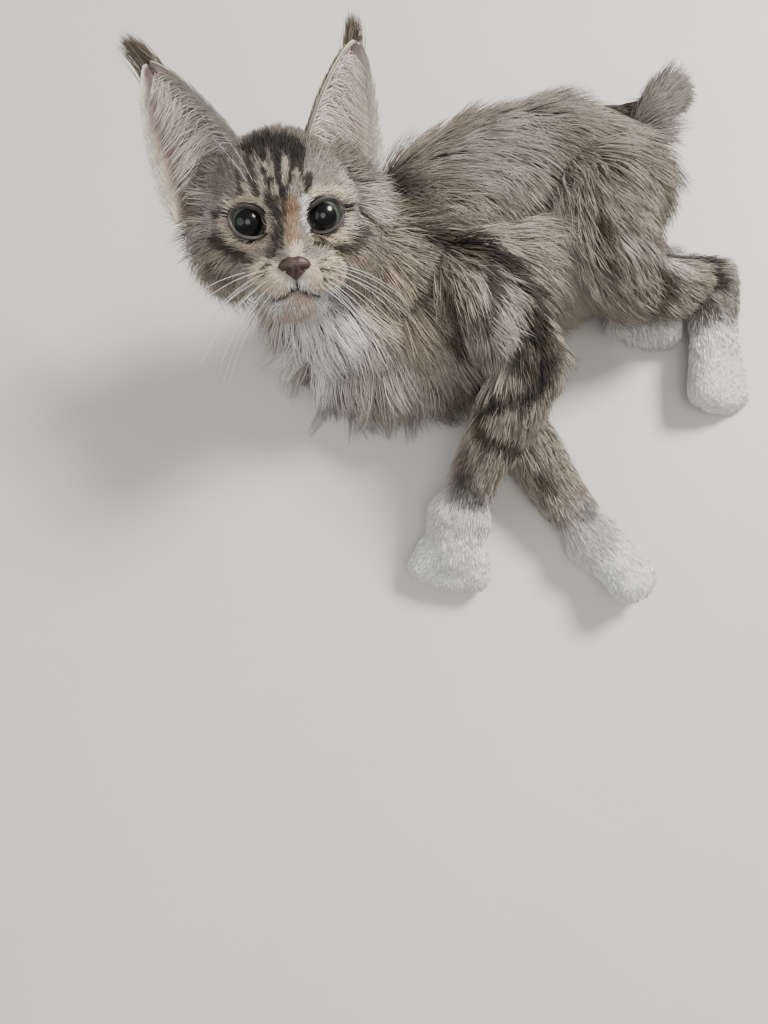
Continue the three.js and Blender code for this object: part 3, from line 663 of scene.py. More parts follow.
BODY_STROKES = [
    (PALE, 26, 0.5, [(600, 285), (575, 235), (520, 190)], ("spine", "belly")),
    (WHITE, 17, 0.9, [(335, 350), (350, 385)], ("throat", "breast", "neck", "head")),
    (PALE, 18, 0.75, [(385, 400), (425, 415)], ("throat", "breast", "neck")),
    (BUFF, 12, 0.8, [(400, 300), (425, 350)], ("upper_arm_left", "neck", "throat", "breast", "belly")),
    (PALE, 8, 0.7, [(500, 290), (505, 340)], ("upper_arm_left",)),
    (DARK, 8, 0.6, [(405, 195), (440, 232), (470, 250)], ("spine", "neck", "upper_arm_left", "belly")),
    (DARK, 5.4, 0.95, [(440, 240), (468, 246), (500, 262), (535, 298), (560, 330)],
     ("spine", "belly", "upper_arm_left")),
    (BLACK, 3.8, 0.95, [(478, 248), (512, 270), (545, 308)], ("spine", "belly", "upper_arm_left")),
    (DARK, 6, 0.85, [(558, 335), (560, 385)], ("upper_arm_left", "forearm_left")),
    (BLACK, 3.0, 0.9, [(547, 322), (530, 345), (515, 372)], ("upper_arm_left",)),
    (DARK, 3.0, 0.9, [(560, 355), (532, 372), (516, 392)], ("upper_arm_left",)),
    (BLACK, 3.0, 0.9, [(562, 392), (530, 405), (500, 408), (478, 420)], ("upper_arm_left", "forearm_left")),
    (DARK, 3.2, 0.85, [(455, 300), (470, 330), (462, 350)], ("upper_arm_left", "neck", "breast")),
    (DARK, 3.4, 0.85, [(495, 270), (500, 300), (490, 330)], ("upper_arm_left",)),
    (DARK, 3.4, 0.9, [(535, 442), (512, 454), (492, 447), (480, 434)], ("forearm_left",)),
    (BROWN, 4.0, 0.7, [(465, 455), (460, 480)], ("forearm_left",)),
    (DARK, 5.0, 0.9, [(432, 497), (455, 505), (474, 500)], ("forearm_left", "forepaw_left")),
    (DARK, 3.0, 0.7, [(540, 480), (552, 492)], ("forearm_right",)),
    (BLACK, 5.0, 0.9, [(592, 520), (604, 535), (612, 550)], ("forearm_right",)),
    (DARK, 4.5, 0.85, [(655, 262), (672, 285), (655, 305)], ("shin_left", "thigh_left")),
    (PALE, 3.2, 0.8, [(685, 250), (690, 275)], ("shin_left", "thigh_left")),
    (BLACK, 4.2, 0.9, [(700, 240), (714, 262), (722, 285)], ("shin_left", "hindpaw_left")),
    (DARK, 3.0, 0.8, [(705, 300), (718, 318)], ("shin_left", "hindpaw_left")),
    (BROWN, 8, 0.7, [(690, 305), (700, 325)], ("shin_left", "hindpaw_left")),
]
# The same kinds of mark on the sides that the photograph doesn't show, with stops in the kitten's frame
HIDDEN_STROKES = [
    (DARK, 7, 0.4, [(-34, 196, 88), (-12, 200, 66), (14, 226, 48), (60, 254, 36), (90, 250, 36)],
     ("spine", "neck")),
    (DARK, 3.2, 0.6, [(50, 246, 60), (40, 214, 74), (36, 190, 70)], ("spine",)),
    (DARK, 3.2, 0.5, [(74, 256, 58), (68, 226, 72), (62, 200, 68)], ("spine",)),
    (DARK, 3.2, 0.5, [(98, 250, 56), (96, 228, 66), (92, 208, 72)], ("spine", "thigh_left")),
    (DARK, 3.0, 0.7, [(100, 222, 62), (112, 196, 62), (116, 182, 56)], ("thigh_left",)),
    (DARK, 3.0, 0.7, [(86, 206, 74), (90, 184, 72), (98, 164, 58)], ("thigh_left",)),
    (DARK, 2.6, 0.7, [(60, 118, 8), (74, 102, 4)], ("upper_arm_right", "forearm_right")),
]
# A pixel's way that misses the kitten is followed this many metres, and the nearest skin is taken
MISS_DEPTH = 0.31
# The tail is paler on the side that faces away from its bend, and dark where its end lies on the floor
TAIL_BEND = np.array([128, 262, 30])
TAIL_FACING = np.array([0.75, -0.6, 0.1])


def pixel_way(u, v):
    right = (u - PHOTO_WIDTH / 2) / FOCAL_PIXELS
    up = (PHOTO_HEIGHT / 2 - v) / FOCAL_PIXELS
    return unit(CAMERA_RIGHT * right + CAMERA_UP * up + CAMERA_LOOK)


def laid_on(skin_tree, pixels):
    """Where each pixel of a stroke falls on the skin, in the kitten's frame."""
    eye = Vector(onto_floor(CAMERA_AT))
    stops = []
    for u, v in pixels:
        way = Vector(pixel_way(u, v))
        hit = skin_tree.ray_cast(eye, way)[0]
        if hit is None:
            hit = skin_tree.find_nearest(eye + way * MISS_DEPTH)[0]
        stops.append(np.array(hit) / MM - SHIFT)
    return stops


def wander(points, scale, seed):
    """A soft random value from -1 to 1 that changes over about the given length."""
    turn = np.random.default_rng(seed)
    total = np.zeros(len(points))
    for octave in range(4):
        ways = unit(turn.normal(size=(3, 3))) * 2 * math.pi / scale * (1.0 + 0.8 * octave)
        total += np.prod(np.sin(points @ ways.T + turn.uniform(0, 6.3, 3)), axis=1)
    return np.clip(total, -1, 1)


def blend_colour(colours, target, share):
    colours[:, :3] += (np.array(target) - colours[:, :3]) * share[:, None]


def markings(points, shares, skin_tree):
    """Colour of the coat at each point, with the share of dark ticking as its fourth value."""
    colours = np.tile(np.array([*GREY, 0.55]), (len(points), 1))
    head = in_head(points)
    torso = shares["spine"] + shares["belly"]
    back = line_distance(points, FLESH_LINES["belly"]) - line_distance(points, FLESH_LINES["spine"])
    drift = wander(points, 26, 3) * 6
    blend_colour(colours, BUFF, torso * smooth_step(26, -14, back + drift) * 0.8)
    blend_colour(colours, BROWN, torso * smooth_step(20, 38, back + drift) * 0.6)
    along = points @ unit(np.array([0.92, 0.38, 0.0]))
    bars = smooth_step(0.1, 0.7, np.sin(along / 3.9 + wander(points, 30, 5) * 1.6))
    blend_colour(colours, BROWN, torso * bars * smooth_step(-10, 14, back) * 0.26)
    blend_colour(colours, BUFF, shares["neck"] * 0.45)
    chest = shares["breast"] + shares["throat"]
    blend_colour(colours, PALE, chest * 0.8)
    colours[:, 3] *= 1 - chest * 0.6
    belly_side = smooth_step(22, 6, points[:, 2]) * smooth_step(210, 180, points[:, 1])
    # Painted shade: the chest's coat is darkened where it lies low, near the floor
    blend_colour(colours, DARK, chest * smooth_step(18, 5, points[:, 2]) * 0.7)
    blend_colour(colours, PALE, shares["belly"] * belly_side * 0.6)
    streaks = smooth_step(0.15, 0.6, wander(points, 9, 8))
    blend_colour(colours, BROWN, (1 - shares["head"]) * streaks * 0.25)
    bars = smooth_step(0.35, 0.75, wander(points, 15, 21))
    for limb in ("upper_arm", "forearm", "thigh", "shin"):
        for side in ("left", "right"):
            blend_colour(colours, BUFF, shares[f"{limb}_{side}"] * 0.35)
            blend_colour(colours, DARK, shares[f"{limb}_{side}"] * bars * 0.55)
    rings = smooth_step(0.0, 0.5, np.sin(points @ np.array([0.3, 0.36, 0.1])))
    under = smooth_step(-3, 5, (points - TAIL_BEND) @ unit(TAIL_FACING))
    blend_colour(colours, DARK, shares["tail"] * (0.8 + 0.2 * rings))
    blend_colour(colours, PALE, shares["tail"] * under * 0.28)
    tail_end = smooth_step(122, 102, points[:, 0]) * smooth_step(18, 12, points[:, 2])
    blend_colour(colours, BLACK, shares["tail"] * tail_end * 0.85)
    face = shares["head"]
    blend_colour(colours, BROWN, face * smooth_step(8, 26, head[:, 1]) * 0.5)
    nape, crown = smooth_step(4, -16, head[:, 2]), smooth_step(-6, 12, head[:, 1])
    blend_colour(colours, DARK, face * nape * crown * 0.6)
    blend_colour(colours, PALE, face * smooth_step(-18, -28, head[:, 1]) * 0.7)
    laid = [(*stroke[:3], laid_on(skin_tree, stroke[3]), stroke[4]) for stroke in BODY_STROKES]
    for colour, radius, strength, stops, parts in laid + HIDDEN_STROKES:
        area = sum(shares[part] for part in parts)
        paint(points, colours, stops, colour, radius, strength * np.minimum(area * 1.6, 1))
    for colour, radius, strength, pixels in FACE_STROKES:
        stops = laid_on(skin_tree, pixels)
        paint(points, colours, stops, colour, radius, strength * np.minimum(face * 2, 1))
    for paw_name in PAWS:
        white = np.minimum(shares[paw_name] * 1.5, 1)
        if paw_name == "hindpaw_left":
            # This sock ends below the hock
            white = white * smooth_step(159, 149, points[:, 1])
        blend_colour(colours, WHITE, white * 0.97)
        colours[:, 3] *= 1 - 0.9 * white
    lips = smooth_step(1.2, 0.5, line_distance(head[:, :2], MOUTH_LINE))
    cleft = smooth_step(1.0, 0.35, line_distance(head[:, :2], PHILTRUM))
    blend_colour(colours, LIP, np.maximum(lips, cleft) * face * (head[:, 2] > 14) * 0.8)
    light = colours[:, :3].mean(axis=1)
    colours[:, 3] *= smooth_step(0.75, 0.35, light) * 0.7 + 0.3
    return colours


def paint(points, colours, stops, colour, radius, strength):
    edge = line_distance(points, stops) + wander(points, max(radius * 1.6, 3.0), 11) * radius * 0.22
    blend_colour(colours, colour, smooth_step(radius * 1.25, radius * 0.62, edge) * strength)


# Tufts: closed, three-sided and tapered, with a root a little under the skin
BAKE_PATCH = 0.003
PIECE_TRIANGLES = 190000
ROOT_DEPTH = 0.35


def tuft_mesh(name, lines, out, width, tint, root_uv, material, taper=1.5, flat=0.55):
    """One mesh of many tufts. lines holds each tuft's stops from root to tip."""
    count, rings = lines.shape[:2]
    way = unit(np.gradient(lines, axis=1))
    across = unit(np.cross(way, out[:, None, :]))
    rise = np.cross(across, way)
    share = np.linspace(0, 1, rings)
    half = width[:, None, None] * 0.5 * (1 - 0.8 * share**taper)[None, :, None]
    corners = np.stack([lines - across * half, lines + across * half, lines + rise * half * flat * 2], axis=2)
    body = corners[:, : rings - 1].reshape(count, -1, 3)
    points = np.concatenate([body, lines[:, -1:]], axis=1)
    per_tuft = points.shape[1]
    tip = per_tuft - 1
    loops = []
    sizes = []
    for ring in range(rings - 2):
        for side in range(3):
            low, high = ring * 3 + side, ring * 3 + (side + 1) % 3
            loops += [low, high, high + 3, low + 3]
            sizes.append(4)
    last = (rings - 2) * 3
    for side in range(3):
        loops += [last + side, last + (side + 1) % 3, tip]
        sizes.append(3)
    loops += [2, 1, 0]
    sizes.append(3)
    loops = np.array(loops)
    sizes = np.array(sizes)
    every_loop = (loops[None] + (np.arange(count) * per_tuft)[:, None]).ravel().astype(np.int32)
    every_size = np.tile(sizes, count)
    mesh = bpy.data.meshes.new(name)
    mesh.vertices.add(count * per_tuft)
    mesh.vertices.foreach_set("co", points.astype(np.float32).ravel())
    mesh.loops.add(len(every_loop))
    mesh.loops.foreach_set("vertex_index", every_loop)
    mesh.polygons.add(len(every_size))
    starts = np.concatenate([[0], np.cumsum(every_size)[:-1]]).astype(np.int32)
    mesh.polygons.foreach_set("loop_start", starts)
    mesh.polygons.foreach_set("use_smooth", np.ones(len(every_size), bool))
    mesh.update(calc_edges=True)
    ring_of = np.append(np.repeat(np.arange(rings - 1), 3), rings - 1)
    side_of = np.append(np.tile([0.0, 1.0, 0.5], rings - 1), 0.5)
    patch = np.stack([side_of - 0.5, ring_of / (rings - 1) - 0.5], axis=1) * BAKE_PATCH
    uv = (root_uv[:, None, :] + patch[None][:, loops]).reshape(-1, 2)
    layer = mesh.uv_layers.new(name="OFBake")
    layer.data.foreach_set("uv", uv.astype(np.float32).ravel())
    put_attribute(mesh, "hair_colour", np.repeat(tint, per_tuft, axis=0), "FLOAT_COLOR")
    put_attribute(mesh, "hair_along", np.tile(ring_of / (rings - 1), count))
    put_attribute(mesh, "hair_chance", np.repeat(draw.random(count), per_tuft))
    piece = bpy.data.objects.new(name, mesh)
    bpy.context.scene.collection.objects.link(piece)
    mesh.materials.append(material)
    return piece


def put_attribute(mesh, name, values, kind="FLOAT"):
    attribute = mesh.attributes.new(name, kind, "POINT")
    field = "color" if kind == "FLOAT_COLOR" else "value"
    attribute.data.foreach_set(field, values.astype(np.float32).ravel())


class Field:
    """The skin's triangles with what the coat needs at their corners."""

    def __init__(self, skin):
        mesh = skin.data
        mesh.calc_loop_triangles()
        count = len(mesh.loop_triangles)
        self.corners = np.zeros(count * 3, np.int32)
        mesh.loop_triangles.foreach_get("vertices", self.corners)
        self.corners = self.corners.reshape(-1, 3)
        loops = np.zeros(count * 3, np.int32)
        mesh.loop_triangles.foreach_get("loops", loops)
        uv = np.zeros(len(mesh.loops) * 2, np.float32)
        mesh.uv_layers["OFBake"].data.foreach_get("uv", uv)
        self.uv = uv.reshape(-1, 2)[loops].reshape(-1, 3, 2)
        self.points = vertices_of(skin) / MM - SHIFT
        self.normals = normals_of(skin)
        edge = self.points[self.corners]
        self.area = np.linalg.norm(np.cross(edge[:, 1] - edge[:, 0], edge[:, 2] - edge[:, 0]), axis=1) / 2

    def scatter(self, weight, count):
        """Random places over the triangles, as often as weight says."""
        chance = self.area * weight[self.corners].mean(axis=1)
        chosen = draw.choice(len(chance), size=count, p=chance / chance.sum())
        first = np.sqrt(draw.random(count))
        second = draw.random(count)
        mix = np.stack([1 - first, first * (1 - second), first * second], axis=1)
        return chosen, mix

    def at(self, values, chosen, mix):
        corner_values = values[self.corners[chosen]]
        if corner_values.ndim == 2:
            return (corner_values * mix).sum(axis=1)
        return (corner_values * mix[:, :, None]).sum(axis=1)

    def uv_at(self, chosen, mix):
        return (self.uv[chosen] * mix[:, :, None]).sum(axis=1)


def tuft_lines(roots, normals, lie, length, stand, clump, rings, clump_every, sag=0.0):
    """Stops of every tuft: it leaves the skin, leans over along its lie and closes in on its clump."""
    count = len(roots)
    share = np.linspace(0, 1, rings)[None, :, None]
    flat = unit(lie - normals * (lie * normals).sum(axis=1, keepdims=True))
    side = np.cross(normals, flat)
    stray = draw.normal(size=(count, 1)) * 0.14
    flat = unit(flat + side * stray)
    curl = draw.normal(size=(count, 1, 1))
    rise = stand[:, None, None] * (np.sin(share * math.pi * 0.5) * 0.9 + share * 0.1 * curl)
    lines = flat[:, None] * share + normals[:, None] * rise
    lines = roots[:, None] - normals[:, None] * ROOT_DEPTH + lines * length[:, None, None]
    bend = draw.normal(size=(count, 1, 1)) * 0.13
    lines += side[:, None] * bend * share**2 * length[:, None, None]
    lines[:, :, 2] -= sag * length[:, None] * share[:, :, 0] ** 2
    leaders = np.arange(0, count, clump_every)
    own = nearest_vertices(tree_of(roots[leaders]), roots)
    swing = draw.normal(size=(len(leaders), 1, 1)) * 0.18
    lead = lines[leaders] + side[leaders][:, None] * swing * share * length[leaders][:, None, None]
    pull = clump[:, None, None] * share**1.3
    lines += (lead[own] - lines) * pull
    lines[:, :, 2] = np.maximum(lines[:, :, 2], 0.5 + 0.4 * draw.random((count, 1)))
    return lines


def tree_of(points):
    tree = KDTree(len(points))
    for place, point in enumerate(points):
        tree.insert(point, place)
    tree.balance()
    return tree


def nearest_vertices(tree, points):
    return np.array([tree.find(point)[1] for point in points])


# Regions of the coat: which parts, how many tufts, stops in a tuft and tufts in a clump
REGIONS = {
    "face": (("head",), 20000, 4, 9),
    "ruff": (("neck", "throat", "breast"), 13500, 5, 20),
    "back": (("spine", "belly"), 18000, 4, 22),
    "arms": (("upper_arm_left", "forearm_left", "upper_arm_right", "forearm_right"), 10500, 4, 12),
    "legs": (("thigh_left", "shin_left", "thigh_right", "shin_right"), 7000, 4, 12),
    "paws": (tuple(PAWS), 9000, 3, 8),
    "tail": (("tail",), 4300, 4, 12),
}


def furred(points):
    """1 where fur grows, 0 on the eyes, nose pad and lips."""
    head = in_head(points)
    front = head[:, 2] > 8
    fur = np.ones(len(points))
    for centre in EYE_AT.values():
        rho = np.hypot((head[:, 0] - centre[0]) / EYE_OPENING[0], (head[:, 1] - centre[1]) / EYE_OPENING[1])
        fur *= np.where(front, smooth_step(1.08, 1.16, rho), 1)
    pad = np.hypot(head[:, 0] / 5.6, (head[:, 1] - NOSE_Y) / 4.0)
    fur *= np.where(front & (head[:, 2] > 24), smooth_step(0.95, 1.1, pad), 1)
    mouth = line_distance(head[:, :2], MOUTH_LINE)
    fur *= np.where(front & (head[:, 2] > 16), smooth_step(0.7, 1.3, mouth), 1)
    return fur


def grow_coat(field, shares, lie, sizes, colours, material):
    pieces = []
    skin_tree = tree_of(field.points)
    on_floor = (field.points[:, 2] < 2.5) & (field.normals[:, 2] < -0.6)
    grows = furred(field.points) * np.where(on_floor, 0, 1)
    for region, (parts, count, rings, clump_every) in REGIONS.items():
        share = sum(shares[part] for part in parts)
        weight = sizes["dense"] * grows * np.where(share > 0.5, 1, 0)
        chosen, mix = field.scatter(weight, count)
        roots = field.at(field.points, chosen, mix)
        normals = unit(field.at(field.normals, chosen, mix))
        length = field.at(sizes["length"], chosen, mix) * draw.uniform(0.65, 1.15, count)
        lines = tuft_lines(
            roots,
            normals,
            unit(field.at(lie, chosen, mix)),
            length,
            field.at(sizes["stand"], chosen, mix) * draw.uniform(0.6, 1.3, count),
            field.at(sizes["clump"], chosen, mix),
            rings,
            clump_every,
            sag=0.12 if region == "ruff" else 0.03,
        )
        width = field.at(sizes["width"], chosen, mix) * draw.uniform(0.7, 1.25, count)
        tint = colours[nearest_vertices(skin_tree, lines[:, (rings + 1) // 2])]
        root_uv = field.uv_at(chosen, mix)
        per_tuft = (rings - 2) * 6 + 4
        parts_needed = math.ceil(count * per_tuft / PIECE_TRIANGLES)
        order = np.argsort(roots[:, 0])
        for index, group in enumerate(np.array_split(order, parts_needed)):
            name = f"coat_{region}" if parts_needed == 1 else f"coat_{region}_{index + 1}"
            pieces.append(tuft_mesh(
                name,
                onto_floor(lines[group]),
                normals[group],
                width[group] * MM,
                tint[group],
                root_uv[group],
                material,
            ))
    return pieces


# Ears: one cupped leaf each, with inner hairs, a fringe, a furred back and a lynx tuft
EAR_HEIGHT = 42
EAR_WIDTH = 42
EAR_ROOT = 9
EAR_RIM = 0.5
EAR_CUP = 11
EAR_HAIRS = {"inner": 460, "back": 1500, "fringe": 1300, "tip": 260}
EARS = {
    "ear_right": dict(base=(-26, 18, -5), tip=(-40.5, 57, -6), face=(-0.25, 0.05, 1), side=-1),
    "ear_left": dict(base=(22.8, 20, -5), tip=(32.8, 59.5, -6), face=(0.55, 0, 0.85), side=1),
}


def ear_frame(ear):
    base, tip, face = (np.array(ear[key], float) for key in ("base", "tip", "face"))
    up = unit(tip - base)
    face = unit(face - up * (face @ up))
    across = np.cross(up, face)
    return np.stack([across, up, face]), base


def ear_half(v):
    """Half the ear's width without its rim, v from root to tip."""
    return (EAR_WIDTH / 2) * (1 - np.clip(v, 0, 1) ** 1.6) ** 0.72


def ear_point(u, v, w):
    """A place on the ear: u from edge to edge, v from root to tip, w in millimetres off its wall."""
    half = ear_half(v) + EAR_RIM
    bend = EAR_CUP * (1 - v * 0.75) * (1 - u * u)
    turn = u * 0.55
    x = u * half * (1 - 0.12 * u * u) - w * np.sin(turn) * 0.6
    y = -EAR_ROOT + v * (EAR_HEIGHT + EAR_ROOT)
    return np.stack([x, y, 3 - bend * 0.9 + w * np.cos(turn)], axis=-1)


def ear_place(ear, u, v, w):
    turn, base = ear_frame(ear)
    return on_head(ear_point(np.asarray(u, float), np.asarray(v, float), np.asarray(w, float)) @ turn + base)


def make_ear(name, ear, finish):
    columns, rows = 26, 34
    bpy.ops.mesh.primitive_grid_add(x_subdivisions=columns, y_subdivisions=rows, size=2.0)
    piece = bpy.context.object
    piece.name = name
    flat = vertices_of(piece)
    v = (flat[:, 1] + 1) / 2
    set_vertices(piece, onto_floor(ear_place(ear, flat[:, 0], np.minimum(v, 0.997), flat[:, 0] * 0)))
    apply_modifier(piece, "SOLIDIFY", thickness=1.1 * MM, offset=0.0)
    apply_modifier(piece, "SUBSURF", levels=1, render_levels=1)
    points = vertices_of(piece) / MM - SHIFT
    turn, base = ear_frame(ear)
    local = (in_head(points) - base) @ np.linalg.inv(turn)
    up_share = np.clip((local[:, 1] + EAR_ROOT) / (EAR_HEIGHT + EAR_ROOT), 0, 1)
    inner = unit(normals_of(piece)) @ (turn[2] @ HEAD_TURN) > 0.05
    colours = np.tile(np.array([*EAR_FLESH, 1.0]), (len(points), 1))
    blend_colour(colours, EAR_THIN, smooth_step(0.3, 0.9, up_share))
    # Painted shade: the inner ear darkens towards its root, in the deep hollow of the cup
    blend_colour(colours, EAR_WELL_SHADE, smooth_step(0.34, 0.14, up_share) * 0.7)
    edge = np.abs(local[:, 0]) / (ear_half(up_share) * 0.88 + EAR_RIM)
    blend_colour(colours, BUFF, smooth_step(0.62, 0.86, edge) * 0.9)
    blend_colour(colours, GREY, np.where(inner, 0.0, 1.0))
    put_attribute(piece.data, "hair_colour", colours, "FLOAT_COLOR")
    return finished(piece, finish)


def ear_hair(ear, material, name):
    """All the hair of one ear as one piece of tufts of five stops."""
    side = ear["side"]
    turn, _ = ear_frame(ear)
    facing = turn[2] @ HEAD_TURN
    upward = turn[1] @ HEAD_TURN
    lines, outs, widths, tints, uvs = [], [], [], [], []

    def add(line, out, width, colour, tick, u, v):
        ones = np.ones((len(line), 1))
        lines.append(line)
        outs.append(out * ones)
        widths.append(width * ones[:, 0])
        tints.append(np.hstack([colour * ones, tick * ones]))
        uvs.append(np.stack([0.5 + 0.47 * np.ravel(u), 0.03 + 0.94 * np.ravel(v)], axis=1))

    steps = np.linspace(0, 1, 5)[None]
    count = EAR_HAIRS["inner"]
    v = draw.uniform(0.10, 0.82, count)[:, None]
    start = draw.uniform(-0.98, -0.45, count)[:, None]
    sweep = draw.uniform(1.0, 1.8, count)[:, None] * (1 - 0.2 * v)
    u = (start + sweep * steps) * side
    lift = (1.0 + draw.uniform(2.0, 5.0, count)[:, None]) * np.sin(steps * math.pi * 0.62)
    arch = draw.uniform(0.07, 0.13, count)[:, None]
    rise = v + arch * np.sin(math.pi * steps**0.8) - 0.05 * steps
    line = ear_place(ear, np.clip(u, -1.35, 1.35), np.clip(rise, 0.02, 0.96), lift)
    silver = np.array([PALE]) * 1.2 * draw.uniform(0.75, 1.15, (count, 1))
    add(line, facing, draw.uniform(0.2, 0.36, count), silver, 0.0, start * side, v)

    count = EAR_HAIRS["back"]
    v = draw.uniform(0.0, 0.97, count)[:, None]
    u = draw.uniform(-1.0, 1.0, count)[:, None]
    rise = np.clip(v + 0.11 * steps, 0, 0.995)
    line = ear_place(ear, u * (1 + 0.05 * steps), rise, -0.3 - 1.6 * np.sin(steps * 1.6))
    add(line, -facing, 0.45, np.array(BROWN) * 1.5, 0.7, u, v)

    count = EAR_HAIRS["fringe"]
    edge = draw.choice([-1.0, 1.0], count)[:, None]
    v = draw.uniform(0.05, 0.96, count)[:, None]
    reach = draw.uniform(0.08, 0.26, count)[:, None]
    root = draw.uniform(0.78, 1.0, count)[:, None]
    rise = np.clip(v + 0.12 * steps, 0, 0.985)
    line = ear_place(ear, edge * (root + reach * steps), rise, 0.4 + 1.0 * steps)
    add(line, facing, 0.34, np.where(edge == side, 1.05, 0.75) * np.array([PALE]), 0.2, edge * root, v)

    count = EAR_HAIRS["tip"]
    u = draw.uniform(-0.9, 0.9, count)
    v = draw.uniform(0.84, 0.97, count)
    root = ear_place(ear, u, v, draw.uniform(-0.6, 0.6, count))
    aim = unit(upward + draw.normal(size=(count, 3)) * 0.16)
    reach = draw.uniform(9, 17, count)[:, None, None]
    outward = HEAD_X * side * (5.0 if side < 0 else -1.0)
    line = root[:, None] + aim[:, None] * steps[..., None] * reach + outward * steps[..., None] ** 2
    centre = line.mean(axis=0)
    line += (centre[None] - line) * 0.55 * steps[..., None] ** 0.7
    add(line, facing, 0.3, np.array(BROWN), 0.5, u, v)
    line, out, width, tint, uv = (np.concatenate(values) for values in (lines, outs, widths, tints, uvs))
    return tuft_mesh(name, onto_floor(line), out, width * MM, tint, uv, material)


# Eyes, lids, nose and whiskers
def make_eye(name, finish):
    centre = on_head(EYE_AT[name])
    gaze = unit(CAMERA_AT - centre)
    bpy.ops.mesh.primitive_uv_sphere_add(segments=72, ring_count=48, radius=1.0)
    piece = bpy.context.object
    piece.name = f"{name}_ball"
    turn = np.array(Vector(gaze).to_track_quat("Z", "Y").to_matrix())
    ways = vertices_of(piece) @ turn.T
    angle = np.arccos(np.clip(ways @ gaze, -1, 1))
    reach = angle * EYE_RADIUS
    bulge = 0.7 * smooth_step(7.2, 0.0, reach)
    set_vertices(piece, onto_floor(centre + ways * (EYE_RADIUS + bulge)[:, None]))
    put_attribute(piece.data, "from_pupil", reach)
    return finished(piece, finish)


def make_lids(name, finish):
    """A dark rim that follows the opening on the eyeball."""
    centre = np.array(EYE_AT[name])
    side = 1 if centre[0] > 0 else -1
    turns = np.linspace(0, 2 * math.pi, 57)[:-1]
    x = EYE_OPENING[0] * np.cos(turns) * side
    y = EYE_OPENING[1] * np.sin(turns) + np.cos(turns) * EYE_TILT
    corner = smooth_step(0.75, 1.0, -np.cos(turns))
    x = x - side * corner * 1.5
    y = y - corner * 0.9
    flat = np.minimum(np.hypot(x, y), EYE_RADIUS * 0.985)
    z = np.sqrt(EYE_RADIUS**2 - flat**2)
    line = centre + np.stack([x, y, z + 0.35], axis=1)
    radius = 0.85 + 0.35 * np.sin(turns).clip(0)
    ring = np.linspace(0, 2 * math.pi, 9)[:-1]
    inward = -unit(np.stack([x, y, x * 0], axis=1))
    out = unit(np.stack([x, y, z], axis=1))
    section = inward[:, None] * np.cos(ring)[None, :, None] + out[:, None] * np.sin(ring)[None, :, None]
    points = line[:, None] + section * radius[:, None, None]
    count, sides = len(turns), len(ring)
    faces = []
    for i in range(count):
        for j in range(sides):
            a, b = i * sides + j, i * sides + (j + 1) % sides
            faces.append([a, b, (b + sides) % (count * sides), (a + sides) % (count * sides)])
    piece = mesh_piece(f"{name}_lids", onto_floor(on_head(points.reshape(-1, 3))), faces)
    make_active(piece)
    bpy.ops.object.mode_set(mode="EDIT")
    bpy.ops.mesh.select_all(action="SELECT")
    bpy.ops.mesh.normals_make_consistent(inside=False)
    bpy.ops.object.mode_set(mode="OBJECT")
    return finished(piece, finish)


def make_nose(finish):
    bpy.ops.mesh.primitive_uv_sphere_add(segments=48, ring_count=32, radius=1.0)
    piece = bpy.context.object
    piece.name = "nose_pad"
    p = vertices_of(piece)
    narrow = 0.28 + 0.72 * smooth_step(-1.05, 0.25, p[:, 1])
    x = p[:, 0] * narrow * 6.0
    y = NOSE_Y + p[:, 1] * 4.1 - 0.4 * smooth_step(0.35, 0.0, np.abs(p[:, 0])) * (p[:, 1] > 0)
    z = 28.8 + p[:, 2] * 3.0 + p[:, 1] * 0.8
    front = p[:, 2] > 0
    for side in (-1, 1):
        hole = np.hypot((x - side * 3.0) / 1.5, (y - NOSE_Y + 0.6) / 0.95)
        z -= np.where(front, 1.5 * smooth_step(1.2, 0.4, hole), 0)
    z -= np.where(front, 0.7 * smooth_step(0.8, 0.1, np.abs(x)) * smooth_step(NOSE_Y + 2, NOSE_Y - 1, y), 0)
    set_vertices(piece, onto_floor(on_head(np.stack([x, y, z], axis=1))))
    return finished(piece, finish)


WHISKER_ROWS = 4
WHISKERS_IN_ROW = 3
BROW_HAIRS = 2


def make_whiskers(material):
    """Rows of whiskers and the few long hairs over each eye, as one piece."""
    lines = []
    steps = np.linspace(0, 1, 12)[:, None]

    def add(root, aim, length, droop):
        lines.append(on_head(root + unit(aim) * steps * length + droop * steps**2 * length))

    for side in (-1, 1):
        for row in range(WHISKER_ROWS):
            for place in range(WHISKERS_IN_ROW):
                height = -17.0 - row * 2.1 + place * 0.3
                root = np.array([side * (7.5 + place * 2.2), height, 26.5 - place * 3.0])
                dip = -0.12 - 0.22 * row + draw.normal() * 0.07
                aim = np.array([side * 1.0, dip, 0.35 - 0.1 * place])
                length = draw.uniform(34, 46) * (1 - 0.06 * row)
                add(root, aim, length, np.array([-side * 0.10, -0.34 - 0.08 * draw.random(), -0.18]))
        for place in range(BROW_HAIRS):
            root = np.array([side * (9.0 + place * 1.6), 8.5 + 0.6 * place, 20.0 - 0.8 * place])
            aim = np.array([side * (0.25 + 0.15 * place), 1.0, 0.55])
            add(root, aim, draw.uniform(18, 26), np.array([side * 0.25, 0.1, -0.35]))
    lines = np.array(lines)
    uv = 0.5 + in_head(lines[:, 0])[:, :2] / 80
    lines = onto_floor(lines)
    out = np.tile(HEAD_Z, (len(lines), 1))
    tint = np.tile([*WHITE, 0.0], (len(lines), 1))
    whiskers = WHISKER_ROWS * WHISKERS_IN_ROW
    width = np.where(np.arange(len(lines)) % (whiskers + BROW_HAIRS) < whiskers, 0.26, 0.17) * MM
    return tuft_mesh("whiskers", lines, out, width, tint, uv, material, taper=1.0, flat=0.8)


# Stage: pale floor, soft light and the photograph's camera
SENSOR_HEIGHT = 36
